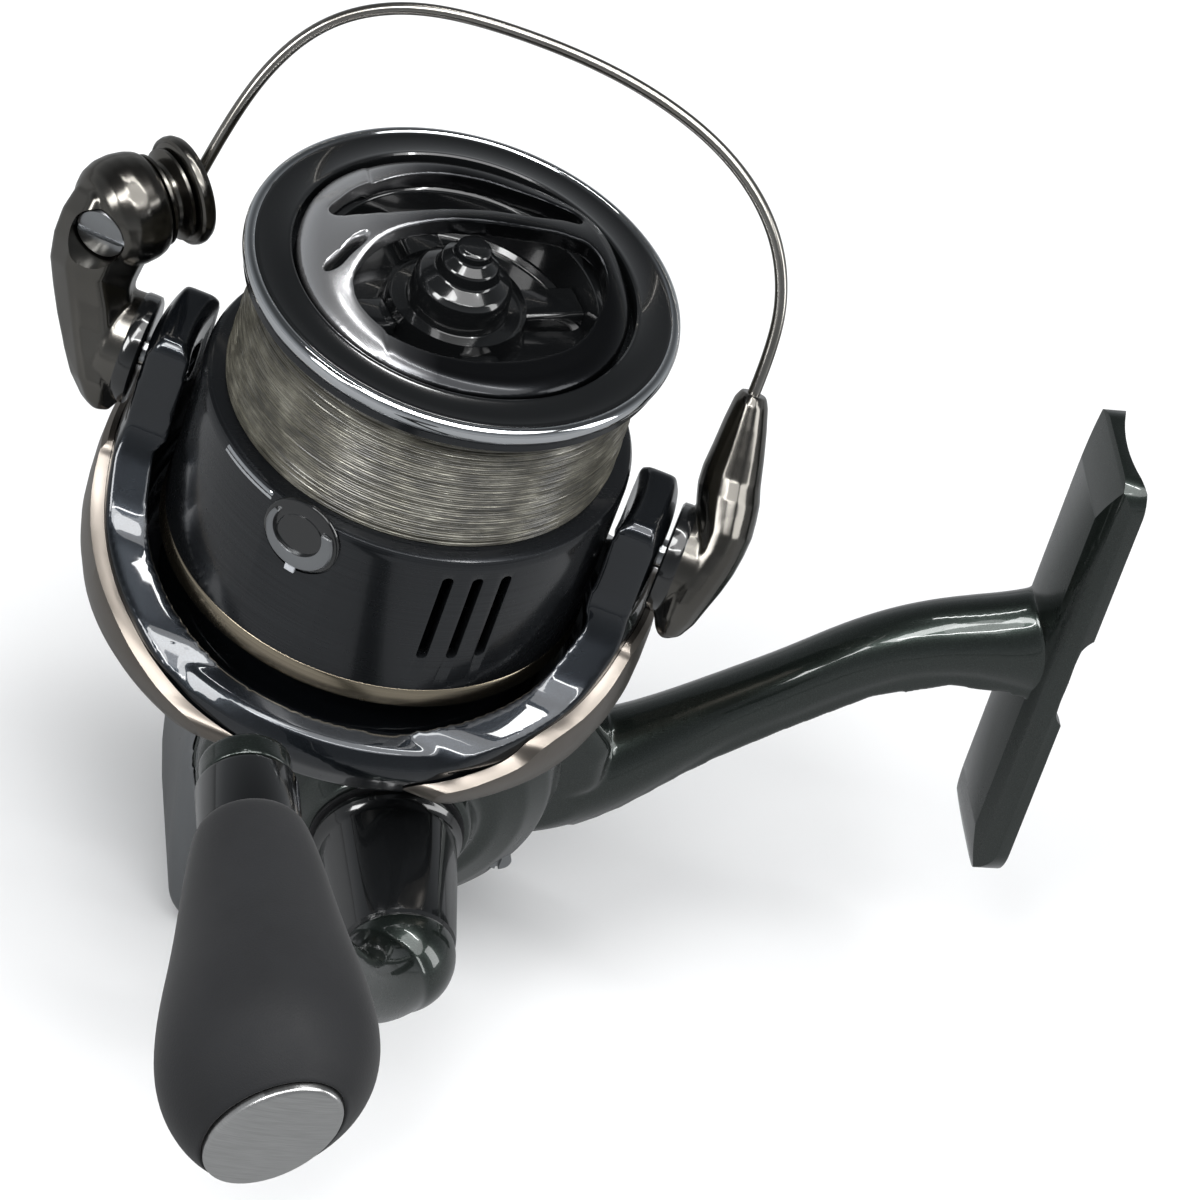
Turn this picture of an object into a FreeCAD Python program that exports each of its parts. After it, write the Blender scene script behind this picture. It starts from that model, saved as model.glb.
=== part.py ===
import FreeCAD, Part
import math
import os

# Spinning reel.  Built in the reel frame: the main shaft lies on Z with z = 0 at the spool lip,
# +X points to the rod foot and the handle is on the -Y side.  Every shape is then moved so that
# the origin is the middle of the foot's seat on the rod.

# ---- driving dimensions, mm and degrees -------------------------------------------------------
run_gap = 0.03          # radial clearance of a running fit
seat_height = 76.4      # main shaft to the middle of the foot's seat
seat_z = -39.5          # the seat's middle, behind the spool lip
foot_tilt = 3.8         # the foot spreads away from the shaft towards the back
foot_front = 29.25      # reach of the foot from its seat's middle towards the spool
foot_back = 32.0        # reach the other way
foot_width = 14.8
rod_radius = 17.0       # hollow of the foot
rod_hollow = 1.2        # its depth under the edge lands

lip_radius = 22.0       # spool
lip_width = 1.7
line_radius = 20.3
line_front = -3.0
line_back = -17.0
spool_wall = 1.2
skirt_radius = 22.1
skirt_end = -35.2
band_height = 2.5
chamber_radius = 14.3   # drag chamber in the spool's nose
chamber_floor = -11.0
stroke_back = 8.0
stroke_front = 6.0

shaft_radius = 1.75     # main shaft
shaft_front = 3.2
shaft_back = -77.5
sleeve_radius = 4.0     # spool support on the main shaft

rotor_phase = -21.0     # turn of the bail axis from +X
rotor_front = -31.8
rotor_back = -48.3
rotor_hub_radius = 20.0
rotor_wall = 1.3
bowl_radius = 27.8
arm_inner = 24.2
arm_outer = 28.3
cover_thickness = 1.4
pivot_z = -24.0         # bail axis
head_reach = 6.4        # bail axis to the arm's tip
arm_tip = pivot_z + head_reach
pivot_radius = 1.5
boss_radius = 4.5
side_gap = 0.3          # levers beside the rotor arms
boss_face = arm_outer - 0.6 + side_gap     # where the levers' bosses start
bail_tilt = 33.0        # closed bail, from the shaft's direction away from the handle

drive_x = 6.0           # drive axis, off the main shaft towards the foot
drive_z = -61.2
drive_radius = 3.5
pinion_teeth = 11
gear_teeth = 47
module = 0.566
face_inner = 13.3       # toothed band of the drive gear
face_outer = 15.6
gear_recess = 6.3       # hollow of the drive gear over the rear pinion bearing
tooth_play = 0.22       # slack of each tooth at the pitch line
idler_teeth = 14
worm_teeth = 16

body_near = -15.5       # handle side of the body
body_far = 14.0
body_front = -49.0
body_wall = 1.6
split_y = -6.8          # joint of the cover on the frame
nose_radius = 18.1
nose_front = -35.5

collar_start = 18.6     # handle pieces, outwards from the shaft
collar_end = 33.3
collar_base = 7.8
collar_tip = 5.95
knob_x = -20.6
knob_z = -18.3
arm_end = 52.8
knob_start = 53.3
knob_end = 93.7

V = FreeCAD.Vector
ORIGIN = V(0, 0, 0)
SEAT = V(seat_height, 0, seat_z)


# ---- helpers -----------------------------------------------------------------------------------
def save(name, shape):
    """Writes one node with the seat's middle as its origin."""
    shape = shape.copy()
    shape.translate(SEAT * -1)
    solids = shape.Solids
    shape = solids[0] if len(solids) == 1 else Part.makeCompound(solids)
    shape.exportStep("parts/" + name + ".step")


def turned(points):
    """Solid of revolution about Z from its (radius, z) outline."""
    wire = Part.makePolygon([V(r, 0, z) for r, z in points + points[:1]])
    return Part.Face(wire).revolve(ORIGIN, V(0, 0, 1), 360)


def ring(inner, outer, low, high):
    return turned([(inner, low), (outer, low), (outer, high), (inner, high)])


def rod(radius, low, high, x=0, y=0):
    return Part.makeCylinder(radius, high - low, V(x, y, low))


def block(x0, x1, y0, y1, z0, z1):
    return Part.makeBox(x1 - x0, y1 - y0, z1 - z0, V(x0, y0, z0))


def outline(points):
    """Closed face in the XY plane through (x, y, corner radius)."""
    arcs = []
    count = len(points)
    for index, (x, y, radius) in enumerate(points):
        corner = V(x, y, 0)
        before = (V(*points[index - 1][:2], 0) - corner).normalize()
        after = (V(*points[(index + 1) % count][:2], 0) - corner).normalize()
        half = before.getAngle(after) / 2
        reach = radius / math.tan(half)
        middle = corner
        if radius:
            inward = (before + after).normalize()
            middle = corner + inward * (radius / math.sin(half) - radius)
        arcs.append((corner + before * reach, middle, corner + after * reach))
        side = V(x, y, 0) - V(*points[index - 1][:2], 0)
        used = (V(x, y, 0) - arcs[-1][0]).Length
        if index and used + (arcs[-2][2] - V(*points[index - 1][:2], 0)).Length > side.Length + 1e-6:
            raise ValueError("corner radii overlap between points %d and %d" % (index - 1, index))
    edges = []
    for index, (start, middle, end) in enumerate(arcs):
        last = arcs[index - 1][2]
        if last.distanceToPoint(start) > 1e-5:
            edges.append(Part.makeLine(last, start))
        if start.distanceToPoint(end) > 1e-5:
            edges.append(Part.Arc(start, middle, end).toShape())
    return Part.Face(Part.Wire(edges))


def slab_xz(points, y0, y1):
    """Prism along Y from an outline of (x, z, corner radius)."""
    face = outline(points)
    face.rotate(ORIGIN, V(1, 0, 0), 90)
    face.translate(V(0, y0, 0))
    return face.extrude(V(0, y1 - y0, 0))


def slab_yz(points, x0, x1):
    """Prism along X from an outline of (y, z, corner radius)."""
    face = to_yz(outline(points))
    face.translate(V(x0, 0, 0))
    return face.extrude(V(x1 - x0, 0, 0))


def to_yz(face):
    """XY plane to YZ plane: x becomes y and y becomes z."""
    face.transformShape(FreeCAD.Matrix(0, 0, 1, 0, 1, 0, 0, 0, 0, 1, 0, 0, 0, 0, 0, 1))
    return face


def slab_xy(points, z0, z1):
    face = outline(points)
    face.translate(V(0, 0, z0))
    return face.extrude(V(0, 0, z1 - z0))


def fuse(shapes):
    result = shapes[0].fuse(list(shapes[1:])) if len(shapes) > 1 else shapes[0]
    return result.removeSplitter()


def outwards(shape, x, z):
    """A shape made along Z is laid on an axis that leaves the handle side at (x, z)."""
    shape = shape.copy()
    shape.rotate(ORIGIN, V(1, 0, 0), 90)
    shape.translate(V(x, 0, z))
    return shape


def on_drive(shape):
    return outwards(shape, drive_x, drive_z)


def on_knob(shape):
    return outwards(shape, knob_x, knob_z)


def on_rotor(shape):
    """Rotor pieces are made with the bail axis on X."""
    shape = shape.copy()
    shape.rotate(ORIGIN, V(0, 0, 1), rotor_phase)
    return shape


def on_bail(shape):
    """Bail pieces are made about the bail axis on X, with the arms straight up."""
    shape = shape.copy()
    shape.rotate(ORIGIN, V(1, 0, 0), -bail_tilt)
    shape.translate(V(0, 0, pivot_z))
    return on_rotor(shape)


def rounded_path(points, share=0.45):
    """Straight runs joined by tangent arcs through the corner points."""
    edges = []
    last = points[0]
    for before, corner, after in zip(points, points[1:], points[2:]):
        back = before - corner
        ahead = after - corner
        reach = share * min(back.Length, ahead.Length)
        back.normalize()
        ahead.normalize()
        half = back.getAngle(ahead) / 2
        radius = reach * math.tan(half)
        middle = corner + (back + ahead).normalize() * (radius / math.sin(half) - radius)
        start = corner + back * reach
        end = corner + ahead * reach
        edges.append(Part.makeLine(last, start))
        edges.append(Part.Arc(start, middle, end).toShape())
        last = end
    edges.append(Part.makeLine(last, points[-1]))
    return Part.Wire(edges)


def tube_along(points, radius):
    path = rounded_path(points)
    circle = Part.Circle(points[0], (points[1] - points[0]).normalize(), radius)
    return path.makePipeShell([Part.Wire(circle.toShape())], True, True)


def oval(centre, across, up, half_across, half_up):
    """Ellipse wire about a centre in the plane of two directions."""
    big, small = (across, up) if half_across >= half_up else (up, across)
    radii = sorted((half_across, half_up), reverse=True)
    shape = Part.Ellipse(ORIGIN, radii[0], radii[1] if radii[1] < radii[0] else radii[0] - 1e-4)
    edge = shape.toShape()
    normal = big.cross(small)
    place = FreeCAD.Matrix(big.x, small.x, normal.x, centre.x,
                           big.y, small.y, normal.y, centre.y,
                           big.z, small.z, normal.z, centre.z, 0, 0, 0, 1)
    edge.transformShape(place)
    return Part.Wire(edge)


# ---- gears ---------------------------------------------------------------------------------------
def spur_gear(teeth, bore, low, high, play=tooth_play):
    """Spur gear along Z with straight-flanked teeth, one of them on +X."""
    pitch = module * teeth / 2
    half_pitch = math.pi * module / 2 - play
    root = pitch - 1.1 * module
    tip = pitch + 0.85 * module
    flank = 0.36
    profile = []
    for index in range(teeth):
        middle = 2 * math.pi * index / teeth
        for radius, side in ((root, -1), (tip, -1), (tip, 1), (root, 1)):
            half = half_pitch / 2 - (radius - pitch) * flank
            angle = middle + side * half / radius
            profile.append(V(radius * math.cos(angle), radius * math.sin(angle), low))
    blank = Part.Face(Part.makePolygon(profile + profile[:1])).extrude(V(0, 0, high - low))
    return blank.cut(rod(bore, low - 1, high + 1))


pinion_pitch = module * pinion_teeth / 2
gear_arm = pinion_pitch * gear_teeth / pinion_teeth     # drive axis to the middle of the mesh
mesh_z = drive_z + gear_arm
pinion_tip = pinion_pitch + 0.85 * module
gear_face = pinion_pitch - 0.85 * module                # tips of the drive gear's teeth


def face_gear():
    """Drive gear: teeth stand on its inner face, each parallel to the pinion where they meet."""
    root = pinion_pitch + 1.1 * module
    disc = turned([(drive_radius, gear_recess), (face_inner - 1.0, gear_recess), (face_inner - 0.4, root + 0.5),
                   (face_inner, root), (face_outer, root), (face_outer, root + 1.6),
                   (face_outer - 1.8, gear_recess + 1.8), (11.0, gear_recess + 2.4), (6.6, gear_recess + 2.4),
                   (6.2, gear_recess + 3.4), (drive_radius, gear_recess + 3.4)])
    band = ring(face_inner, face_outer, gear_face, root + 0.1)
    half_pitch = math.pi * module / 2 - tooth_play
    flank = 0.36
    ridges = []
    for index in range(gear_teeth):
        top = half_pitch / 2 - (pinion_pitch - gear_face) * flank
        foot = half_pitch / 2 + (root + 0.1 - pinion_pitch) * flank
        face = Part.Face(Part.makePolygon([
            V(-drive_x - top, gear_arm - 3, gear_face), V(-drive_x + top, gear_arm - 3, gear_face),
            V(-drive_x + foot, gear_arm - 3, root + 0.1), V(-drive_x - foot, gear_arm - 3, root + 0.1),
            V(-drive_x - top, gear_arm - 3, gear_face)]))
        ridge = face.extrude(V(0, 6, 0))
        ridge.rotate(ORIGIN, V(0, 0, 1), 360.0 * (index + 0.5) / gear_teeth)
        ridges.append(ridge)
    teeth = band.common(Part.makeCompound(ridges))
    return disc.fuse(teeth.Solids).removeSplitter()


def meet(first, first_reach, second, second_reach):
    """Point at the two given distances from two centres, on the side of +X."""
    line = second - first
    along = (first_reach ** 2 - second_reach ** 2 + line.Length ** 2) / (2 * line.Length)
    aside = math.sqrt(first_reach ** 2 - along ** 2)
    line.normalize()
    return first + line * along + V(line.y, -line.x, 0) * aside


worm_at = V(-5.3, 7.2, 0)
idler_at = meet(ORIGIN, module * (pinion_teeth + idler_teeth) / 2,
                worm_at, module * (idler_teeth + worm_teeth) / 2)
train_low = -54.6       # plane of the crosswind gears
train_high = -52.6
worm_back = -88.4
worm_front = -49.6


def tooth_offset(teeth, turn, heading):
    """How far, in teeth, the gear's nearest tooth stands from a heading."""
    return ((heading - turn) / (360.0 / teeth)) % 1


# ---- spool -----------------------------------------------------------------------------------------
core_radius = chamber_radius + spool_wall
lip_inner = lip_radius - lip_width
lip_back = -1.3
lip_front = 0.6
flange_radius = lip_radius - 0.5
counterbore = 17.3
counter_floor = -2.2
shoulder_back = line_back - 1.3
skirt_inner = skirt_radius - spool_wall
chamber_back = chamber_floor - 1.5
bearing_outer = 6.5
bearing_width = 2.5
hub_radius = 8.3
hub_back = -18.9
slot_angles = (-86.0, -78.0, -70.0)
slot_groups = (0, 130, 200)
slot_high = -19.2
slot_low = -30.6
slot_width = 1.2
clip_angle = -125.5
clip_z = -19.9
clip_radius = 4.1
clip_floor = skirt_radius - 0.4
clip_proud = 0.6        # the clip's face above the skirt
clip_sweep = math.hypot(skirt_radius + clip_proud, clip_radius)
sweep_gap = 0.15        # the arms' heads past the turning clip
head_pad = arm_inner - clip_sweep - sweep_gap    # the arms' heads are thicker inwards


def at_clip(shape):
    """A shape made along X at z = 0 is turned to the line clip's place."""
    shape = shape.copy()
    shape.rotate(ORIGIN, V(0, 0, 1), clip_angle)
    shape.translate(V(0, 0, clip_z))
    return shape


def radial_rod(radius, start, end):
    return Part.makeCylinder(radius, end - start, V(start, 0, 0), V(1, 0, 0))


def build_spool():
    body = turned([
        (bearing_outer, chamber_back), (bearing_outer, chamber_floor), (chamber_radius, chamber_floor),
        (chamber_radius, counter_floor), (counterbore, counter_floor), (counterbore, lip_back),
        (flange_radius, lip_back), (flange_radius, line_front + 0.5), (flange_radius - 0.5, line_front),
        (core_radius, line_front), (core_radius, line_back), (skirt_radius - 0.9, line_back),
        (skirt_radius, line_back - 0.9), (skirt_radius, skirt_end), (skirt_inner, skirt_end),
        (skirt_inner, shoulder_back), (chamber_radius, shoulder_back), (chamber_radius, chamber_back),
        (hub_radius, chamber_back), (hub_radius, hub_back), (bearing_outer, hub_back)])
    slots = []
    for group in slot_groups:
        for angle in slot_angles:
            slot = block(skirt_inner - 1, skirt_radius + 1, -slot_width / 2, slot_width / 2,
                         slot_low + slot_width / 2, slot_high - slot_width / 2)
            ends = [radial_rod(slot_width / 2, skirt_inner - 1, skirt_radius + 1) for _ in range(2)]
            ends[0].translate(V(0, 0, slot_low + slot_width / 2))
            ends[1].translate(V(0, 0, slot_high - slot_width / 2))
            cutter = fuse([slot] + ends)
            cutter.rotate(ORIGIN, V(0, 0, 1), angle + group)
            slots.append(cutter)
    clip_seat = at_clip(radial_rod(clip_radius + 0.3, clip_floor, skirt_radius + 2))
    clip_hole = at_clip(radial_rod(1.3, skirt_inner - 3, skirt_radius + 2))
    save("spool_body", body.cut(slots + [clip_seat, clip_hole]))
    save("spool_lip", turned([(lip_inner, lip_back), (lip_radius - 0.5, lip_back), (lip_radius, lip_back + 0.5),
                              (lip_radius, lip_front - 0.6), (lip_radius - 0.5, lip_front),
                              (lip_inner + 0.5, lip_front), (lip_inner, lip_front - 0.4)]))
    save("front_ring", turned([(counterbore, lip_back), (lip_inner, lip_back), (lip_inner, 0.2),
                               (counterbore + 0.4, 0.75), (counterbore, 0.35)]))
    save("skirt_band", turned([(skirt_inner, skirt_end - band_height), (skirt_radius, skirt_end - band_height),
                               (skirt_radius + 0.15, skirt_end - band_height + 0.3),
                               (skirt_radius + 0.15, skirt_end - 0.3), (skirt_radius, skirt_end),
                               (skirt_inner, skirt_end)]))
    save("line_winding", turned([(core_radius, line_back), (line_radius - 0.2, line_back),
                                 (line_radius + 0.1, line_back + 1.0), (line_radius, line_front - 1.0),
                                 (line_radius - 0.3, line_front), (core_radius, line_front)]))
    clip = fuse([radial_rod(clip_radius, clip_floor + 0.05, skirt_radius + clip_proud),
                 radial_rod(1.25, skirt_inner - 1.6, clip_floor + 0.05)])
    save("line_clip", at_clip(clip))


def build_drag():
    washer_inner = sleeve_radius + 0.5
    washer_outer = chamber_radius - 0.3
    felt = 0.7
    level = [chamber_floor + felt * step for step in range(5)]
    save("drag_felts", Part.makeCompound([ring(washer_inner, washer_outer, level[0], level[1]),
                                          ring(washer_inner, washer_outer, level[2], level[3])]))
    save("drag_washers", Part.makeCompound([ring(washer_inner, washer_outer, level[1], level[2]),
                                            ring(washer_inner, washer_outer, level[3], level[4])]))
    save("washer_clip", ring(chamber_radius - 0.8, chamber_radius, level[4], level[4] + 0.5))
    seats = (chamber_floor - bearing_width, hub_back + 0.2)
    save("spool_bearings", Part.makeCompound([
        ring(sleeve_radius + run_gap, bearing_outer, seat, seat + bearing_width) for seat in seats]))

    knob_wall = chamber_radius - 0.4
    rim = turned([(knob_wall - 0.8, -6.8), (knob_wall, -6.8), (knob_wall, -1.95), (counterbore - 0.25, -1.95),
                  (counterbore - 0.25, 0.7), (counterbore - 0.7, 1.15), (13.6, -1.3), (knob_wall - 0.8, -2.2)])
    plate = ring(3.9, 5.4, -6.8, -5.8)
    spokes = [block(-13.5, 13.5, -2.6, 2.6, -6.8, -5.8), block(-2.6, 2.6, -13.5, 13.5, -6.8, -5.8)]
    hub = turned([(2.0, 1.6), (2.0, 2.2), (2.6, 2.2), (3.2, 1.4), (3.2, 0.4), (4.6, 0.2), (4.8, -1.6), (6.6, -1.9),
                  (6.9, -5.8), (3.9, -5.8), (3.9, 0.0), (3.9, -0.4), (2.0, -0.4)])
    arch = slab_xz([(-16.3, 0.2, 0), (-11.0, 4.1, 9), (0, 6.6, 30), (11.0, 4.1, 9), (16.3, 0.2, 0),
                    (13.7, -1.3, 0), (9.6, 2.2, 7), (0, 4.9, 26), (-9.6, 2.2, 7), (-13.7, -1.3, 0)], -8, 8)
    waist = slab_xy([(-17, -6.2, 0), (-13.2, -4.6, 4), (0, -0.6, 24), (13.2, -4.6, 4), (17, -6.2, 0),
                     (17, 6.2, 0), (13.2, 4.6, 4), (0, 0.6, 24), (-13.2, 4.6, 4), (-17, 6.2, 0)], -3, 9)
    bar = arch.common(waist).common(rod(counterbore - 0.4, -4, 9))
    bar.rotate(ORIGIN, V(0, 0, 1), 15)
    bored = rod(3.9, -7, -0.4)
    knob = fuse([rim, plate, hub] + [spoke.cut(bored) for spoke in spokes] + [bar])
    save("drag_knob", knob)
    nut = ring(shaft_radius + run_gap, 3.9 - run_gap, -5.6, -1.6)
    save("drag_nut", nut)


# ---- main shaft ---------------------------------------------------------------------------------------
slider_length = 6.5
guide_at = V(-6.6, -0.2, 0)
guide_radius = 1.0
worm_radius = 2.2


def build_shaft():
    shaft = rod(shaft_radius, shaft_back, shaft_front)
    flats = [block(1.45, 3, -3, 3, chamber_floor, shaft_front + 1), block(-3, -1.45, -3, 3, chamber_floor, shaft_front + 1)]
    save("main_shaft", shaft.cut(flats))
    save("spool_support", turned([(shaft_radius, -20.8), (7.4, -20.8), (7.4, -20.0), (5.4, -19.3),
                                  (sleeve_radius, -19.3), (sleeve_radius, chamber_floor + 0.2),
                                  (shaft_radius, chamber_floor + 0.2)]))
    block_low = shaft_back
    block_high = shaft_back + slider_length
    slider = slab_xy([(-8.8, -2.3, 1), (2.9, -2.3, 1), (2.9, 2.6, 1), (-0.8, 6.0, 1), (-0.8, 11.0, 2),
                      (-8.8, 11.0, 2)], block_low, block_high)
    holes = [rod(shaft_radius, block_low - 1, block_high + 1),
             rod(worm_radius + 0.35, block_low - 1, block_high + 1, worm_at.x, worm_at.y),
             rod(guide_radius + run_gap, block_low - 1, block_high + 1, guide_at.x, guide_at.y)]
    pawl_z = (block_low + block_high) / 2
    pawl_radius = 1.6
    pawl_bore = Part.makeCylinder(pawl_radius, 6, V(worm_at.x, worm_at.y, pawl_z), V(0, 1, 0))
    save("slider", slider.cut(holes + [pawl_bore]))
    pawl_seat = worm_at.y + worm_radius + 0.4
    save("worm_pawl", Part.makeCylinder(pawl_radius, 11.0 - pawl_seat, V(worm_at.x, pawl_seat, pawl_z), V(0, 1, 0)))


# ---- rotor ------------------------------------------------------------------------------------------------
plate_back = rotor_front - 1.8
pinion_tube = 3.4
clutch_low = -39.6
clutch_high = -35.0
sleeve_outer = 6.4
bearing_seat = 6.0


def arm_outline(near_reach, far_reach):
    """Side view of a rotor arm: a narrow head that spreads to a wide root."""
    neck_z = pivot_z - 5.0
    return [(-5.4, arm_tip, 1.6), (-5.9, neck_z, 8), (-12.5, -35.6, 9), (-22.0, -38.6, 7),
            (-near_reach, -42.4, 1), (-near_reach, -47.5, 0), (far_reach, -47.5, 0), (far_reach, -41.5, 1),
            (12.0, -35.6, 12), (5.9, neck_z, 8), (5.4, arm_tip, 1.6)]


def build_rotor():
    hub_inner = rotor_hub_radius - rotor_wall
    base = turned([(pinion_tube, plate_back), (pinion_tube, rotor_front), (rotor_hub_radius, rotor_front),
                   (rotor_hub_radius, -46.3), (skirt_radius + 1.1, -46.3), (skirt_radius + 1.1, -40.2),
                   (arm_inner + 0.2, -39.2), (26.6, -39.6), (bowl_radius, -41.2), (bowl_radius, -42.6),
                   (26.6, -45.4), (24.0, -47.6), (hub_inner + 0.9, rotor_back), (hub_inner, rotor_back),
                   (hub_inner, plate_back)])
    head_low = pivot_z - boss_radius - 0.3
    shell = turned([(arm_inner, -41.0), (arm_inner, head_low - 1.2), (arm_inner - head_pad, head_low),
                    (arm_inner - head_pad, arm_tip - 1.2), (arm_inner - 0.2, arm_tip), (arm_outer - 1.6, arm_tip),
                    (arm_outer - 0.7, arm_tip - 2.3), (arm_outer - 0.6, pivot_z), (arm_outer - 0.6, head_low),
                    (arm_outer, -31.4),
                    (arm_outer, -40.4), (bowl_radius - 0.4, -42.2), (bowl_radius - 1.4, -42.2)])
    right = shell.common(slab_yz(arm_outline(24.6, 20.0), 0, 40))
    left = shell.common(slab_yz(arm_outline(27.6, 20.0), -40, 0))
    pocket = ring(26.0, 32, -40.4, -31.4).common(block(-40, 0, -4.2, 4.2, -41, -31))
    slot = block(-26.5, -24.7, -3.6, -0.8, -50, -33)
    pivot_hole = Part.makeCylinder(pivot_radius, 80, V(-40, 0, pivot_z), V(1, 0, 0))
    heads = [Part.makeCylinder(2.7, head_pad + 1.4, V(side * (arm_inner - head_pad), 0, pivot_z), V(side, 0, 0))
             for side in (-1, 1)]
    windows = []
    for index in range(6):
        window = rod(2.6, plate_back - 1, rotor_front + 1, 13.0, 0)
        window.rotate(ORIGIN, V(0, 0, 1), 60 * index + 30)
        windows.append(window)
    rotor = fuse([base, right, left]).cut([pocket, slot, pivot_hole] + heads + windows)
    save("rotor", on_rotor(rotor))

    cover_shell = turned([(arm_outer, -31.6), (arm_outer + cover_thickness - 0.2, -32.3),
                          (arm_outer + cover_thickness, -38.0), (arm_outer + cover_thickness - 0.4, -42.2),
                          (28.4, -45.4), (26.6, -47.0), (26.6, -45.4), (bowl_radius, -42.6),
                          (bowl_radius, -41.4), (arm_outer, -40.4)])
    for name, near, far, x0, x1 in (("right", 24.4, 19.6, 0, 40), ("left", 27.8, 19.6, -40, 0)):
        side = slab_yz([(-5.9, -31.6, 0.8), (-12.5, -36.0, 9), (-22.0, -39.6, 7), (-near, -43.6, 0.3),
                        (-near + 4.5, -47.2, 2), (far - 4, -47.2, 2), (far, -43.4, 0.3), (12.0, -36.4, 12),
                        (5.9, -31.6, 1)], x0, x1)
        save("arm_cover_" + name, on_rotor(cover_shell.common(side)))

    bolts = []
    for side in (-1, 1):
        shank = Part.makeCylinder(pivot_radius, boss_face + 3.2 - arm_inner, V(side * arm_inner, 0, pivot_z), V(side, 0, 0))
        head = Part.makeCylinder(2.65, 1.3, V(side * (arm_inner + 0.1), 0, pivot_z), V(side, 0, 0))
        bolts.append(on_rotor(fuse([shank, head])))
    save("pivot_bolts", Part.makeCompound(bolts))

    coil_radius = 0.85
    helix = Part.makeHelix(1.1, 6.6, coil_radius)
    wire_circle = Part.Wire(Part.Circle(V(coil_radius, 0, 0), V(0, 1, 0), 0.25).toShape())
    coil = Part.Wire(helix).makePipeShell([wire_circle], True, True)
    coil.translate(V(-27.05, 2.2, -38.9))
    save("bail_spring", on_rotor(coil))
    save("trip_lever", on_rotor(fuse([block(-26.4, -24.8, -3.4, -1.0, -46.4, -34.0),
                                      block(-27.8, -25.6, -3.4, -1.0, -35.2, -33.6)])))

    tube = rod(pinion_tube, -57.8, -29.6)
    teeth = spur_gear(pinion_teeth, shaft_radius, mesh_z - 1.9, mesh_z + 1.9)
    rear_teeth = spur_gear(pinion_teeth, shaft_radius, train_low - 0.3, train_high + 0.3)
    neck = [ring(pinion_pitch - 1.2 * module, 6, mesh_z - 2.6, mesh_z + 2.6),
            ring(pinion_pitch - 1.2 * module, 6, train_low - 0.8, train_high + 0.8)]
    for gear in (teeth, rear_teeth):
        gear.rotate(ORIGIN, V(0, 0, 1), -90)
    core = tube.cut(neck)
    bore = rod(shaft_radius + 0.06, -60, -28)
    save("pinion", fuse([core, teeth, rear_teeth]).cut(bore))

    nut_outer = 5.6
    hexagon = Part.makePolygon([V(nut_outer * math.cos(math.radians(60 * k)),
                                  nut_outer * math.sin(math.radians(60 * k)), rotor_front) for k in range(7)])
    nut = Part.Face(hexagon).extrude(V(0, 0, 2.2)).cut(rod(pinion_tube, -40, -20))
    save("rotor_nut", nut)
    lock = slab_xy([(-6.4, -8.2, 1.5), (6.4, -8.2, 1.5), (8.8, 0, 3), (6.4, 8.2, 1.5), (-6.4, 8.2, 1.5), (-8.8, 0, 3)],
                   rotor_front, rotor_front + 0.8)
    lock = lock.cut(rod(nut_outer + 0.02, -40, -20))
    screw = [rod(1.1, rotor_front + 0.8, rotor_front + 1.6, 0, side * 6.9) for side in (-1, 1)]
    save("nut_lock", fuse([lock] + screw))
    save("clutch_sleeve", ring(pinion_tube, sleeve_outer, clutch_low, clutch_high))


# ---- bail ---------------------------------------------------------------------------------------------------
roller_axis = V(0.654, 0.539, 0.528).normalize()    # from the lever to the wire, bail upright
support_centre = V(-boss_face - 2.0, 0, 16.6)
support_radius = 5.6
support_half = 0.9
roller_start = support_half + 0.25
roller_length = 2.6
roller_radius = 3.9
housing_start = roller_start + roller_length + 0.25
housing_end = 8.6
axle_radius = 1.3
wire_radius = 0.65


def on_roller(shape):
    """A shape made along Z is laid on the roller's axis, from the wire support to the lever."""
    shape = shape.copy()
    turn = FreeCAD.Rotation(V(0, 0, 1), roller_axis * -1)
    shape.Placement = FreeCAD.Placement(support_centre, turn).multiply(shape.Placement)
    return shape


def pivot_boss(side):
    boss = Part.makeCylinder(boss_radius, 3.6, V(side * boss_face, 0, 0), V(side, 0, 0))
    return boss


def pivot_bore(side):
    return Part.makeCylinder(pivot_radius + run_gap, 5.5, V(side * (boss_face - 2), 0, 0), V(side, 0, 0))


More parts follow.
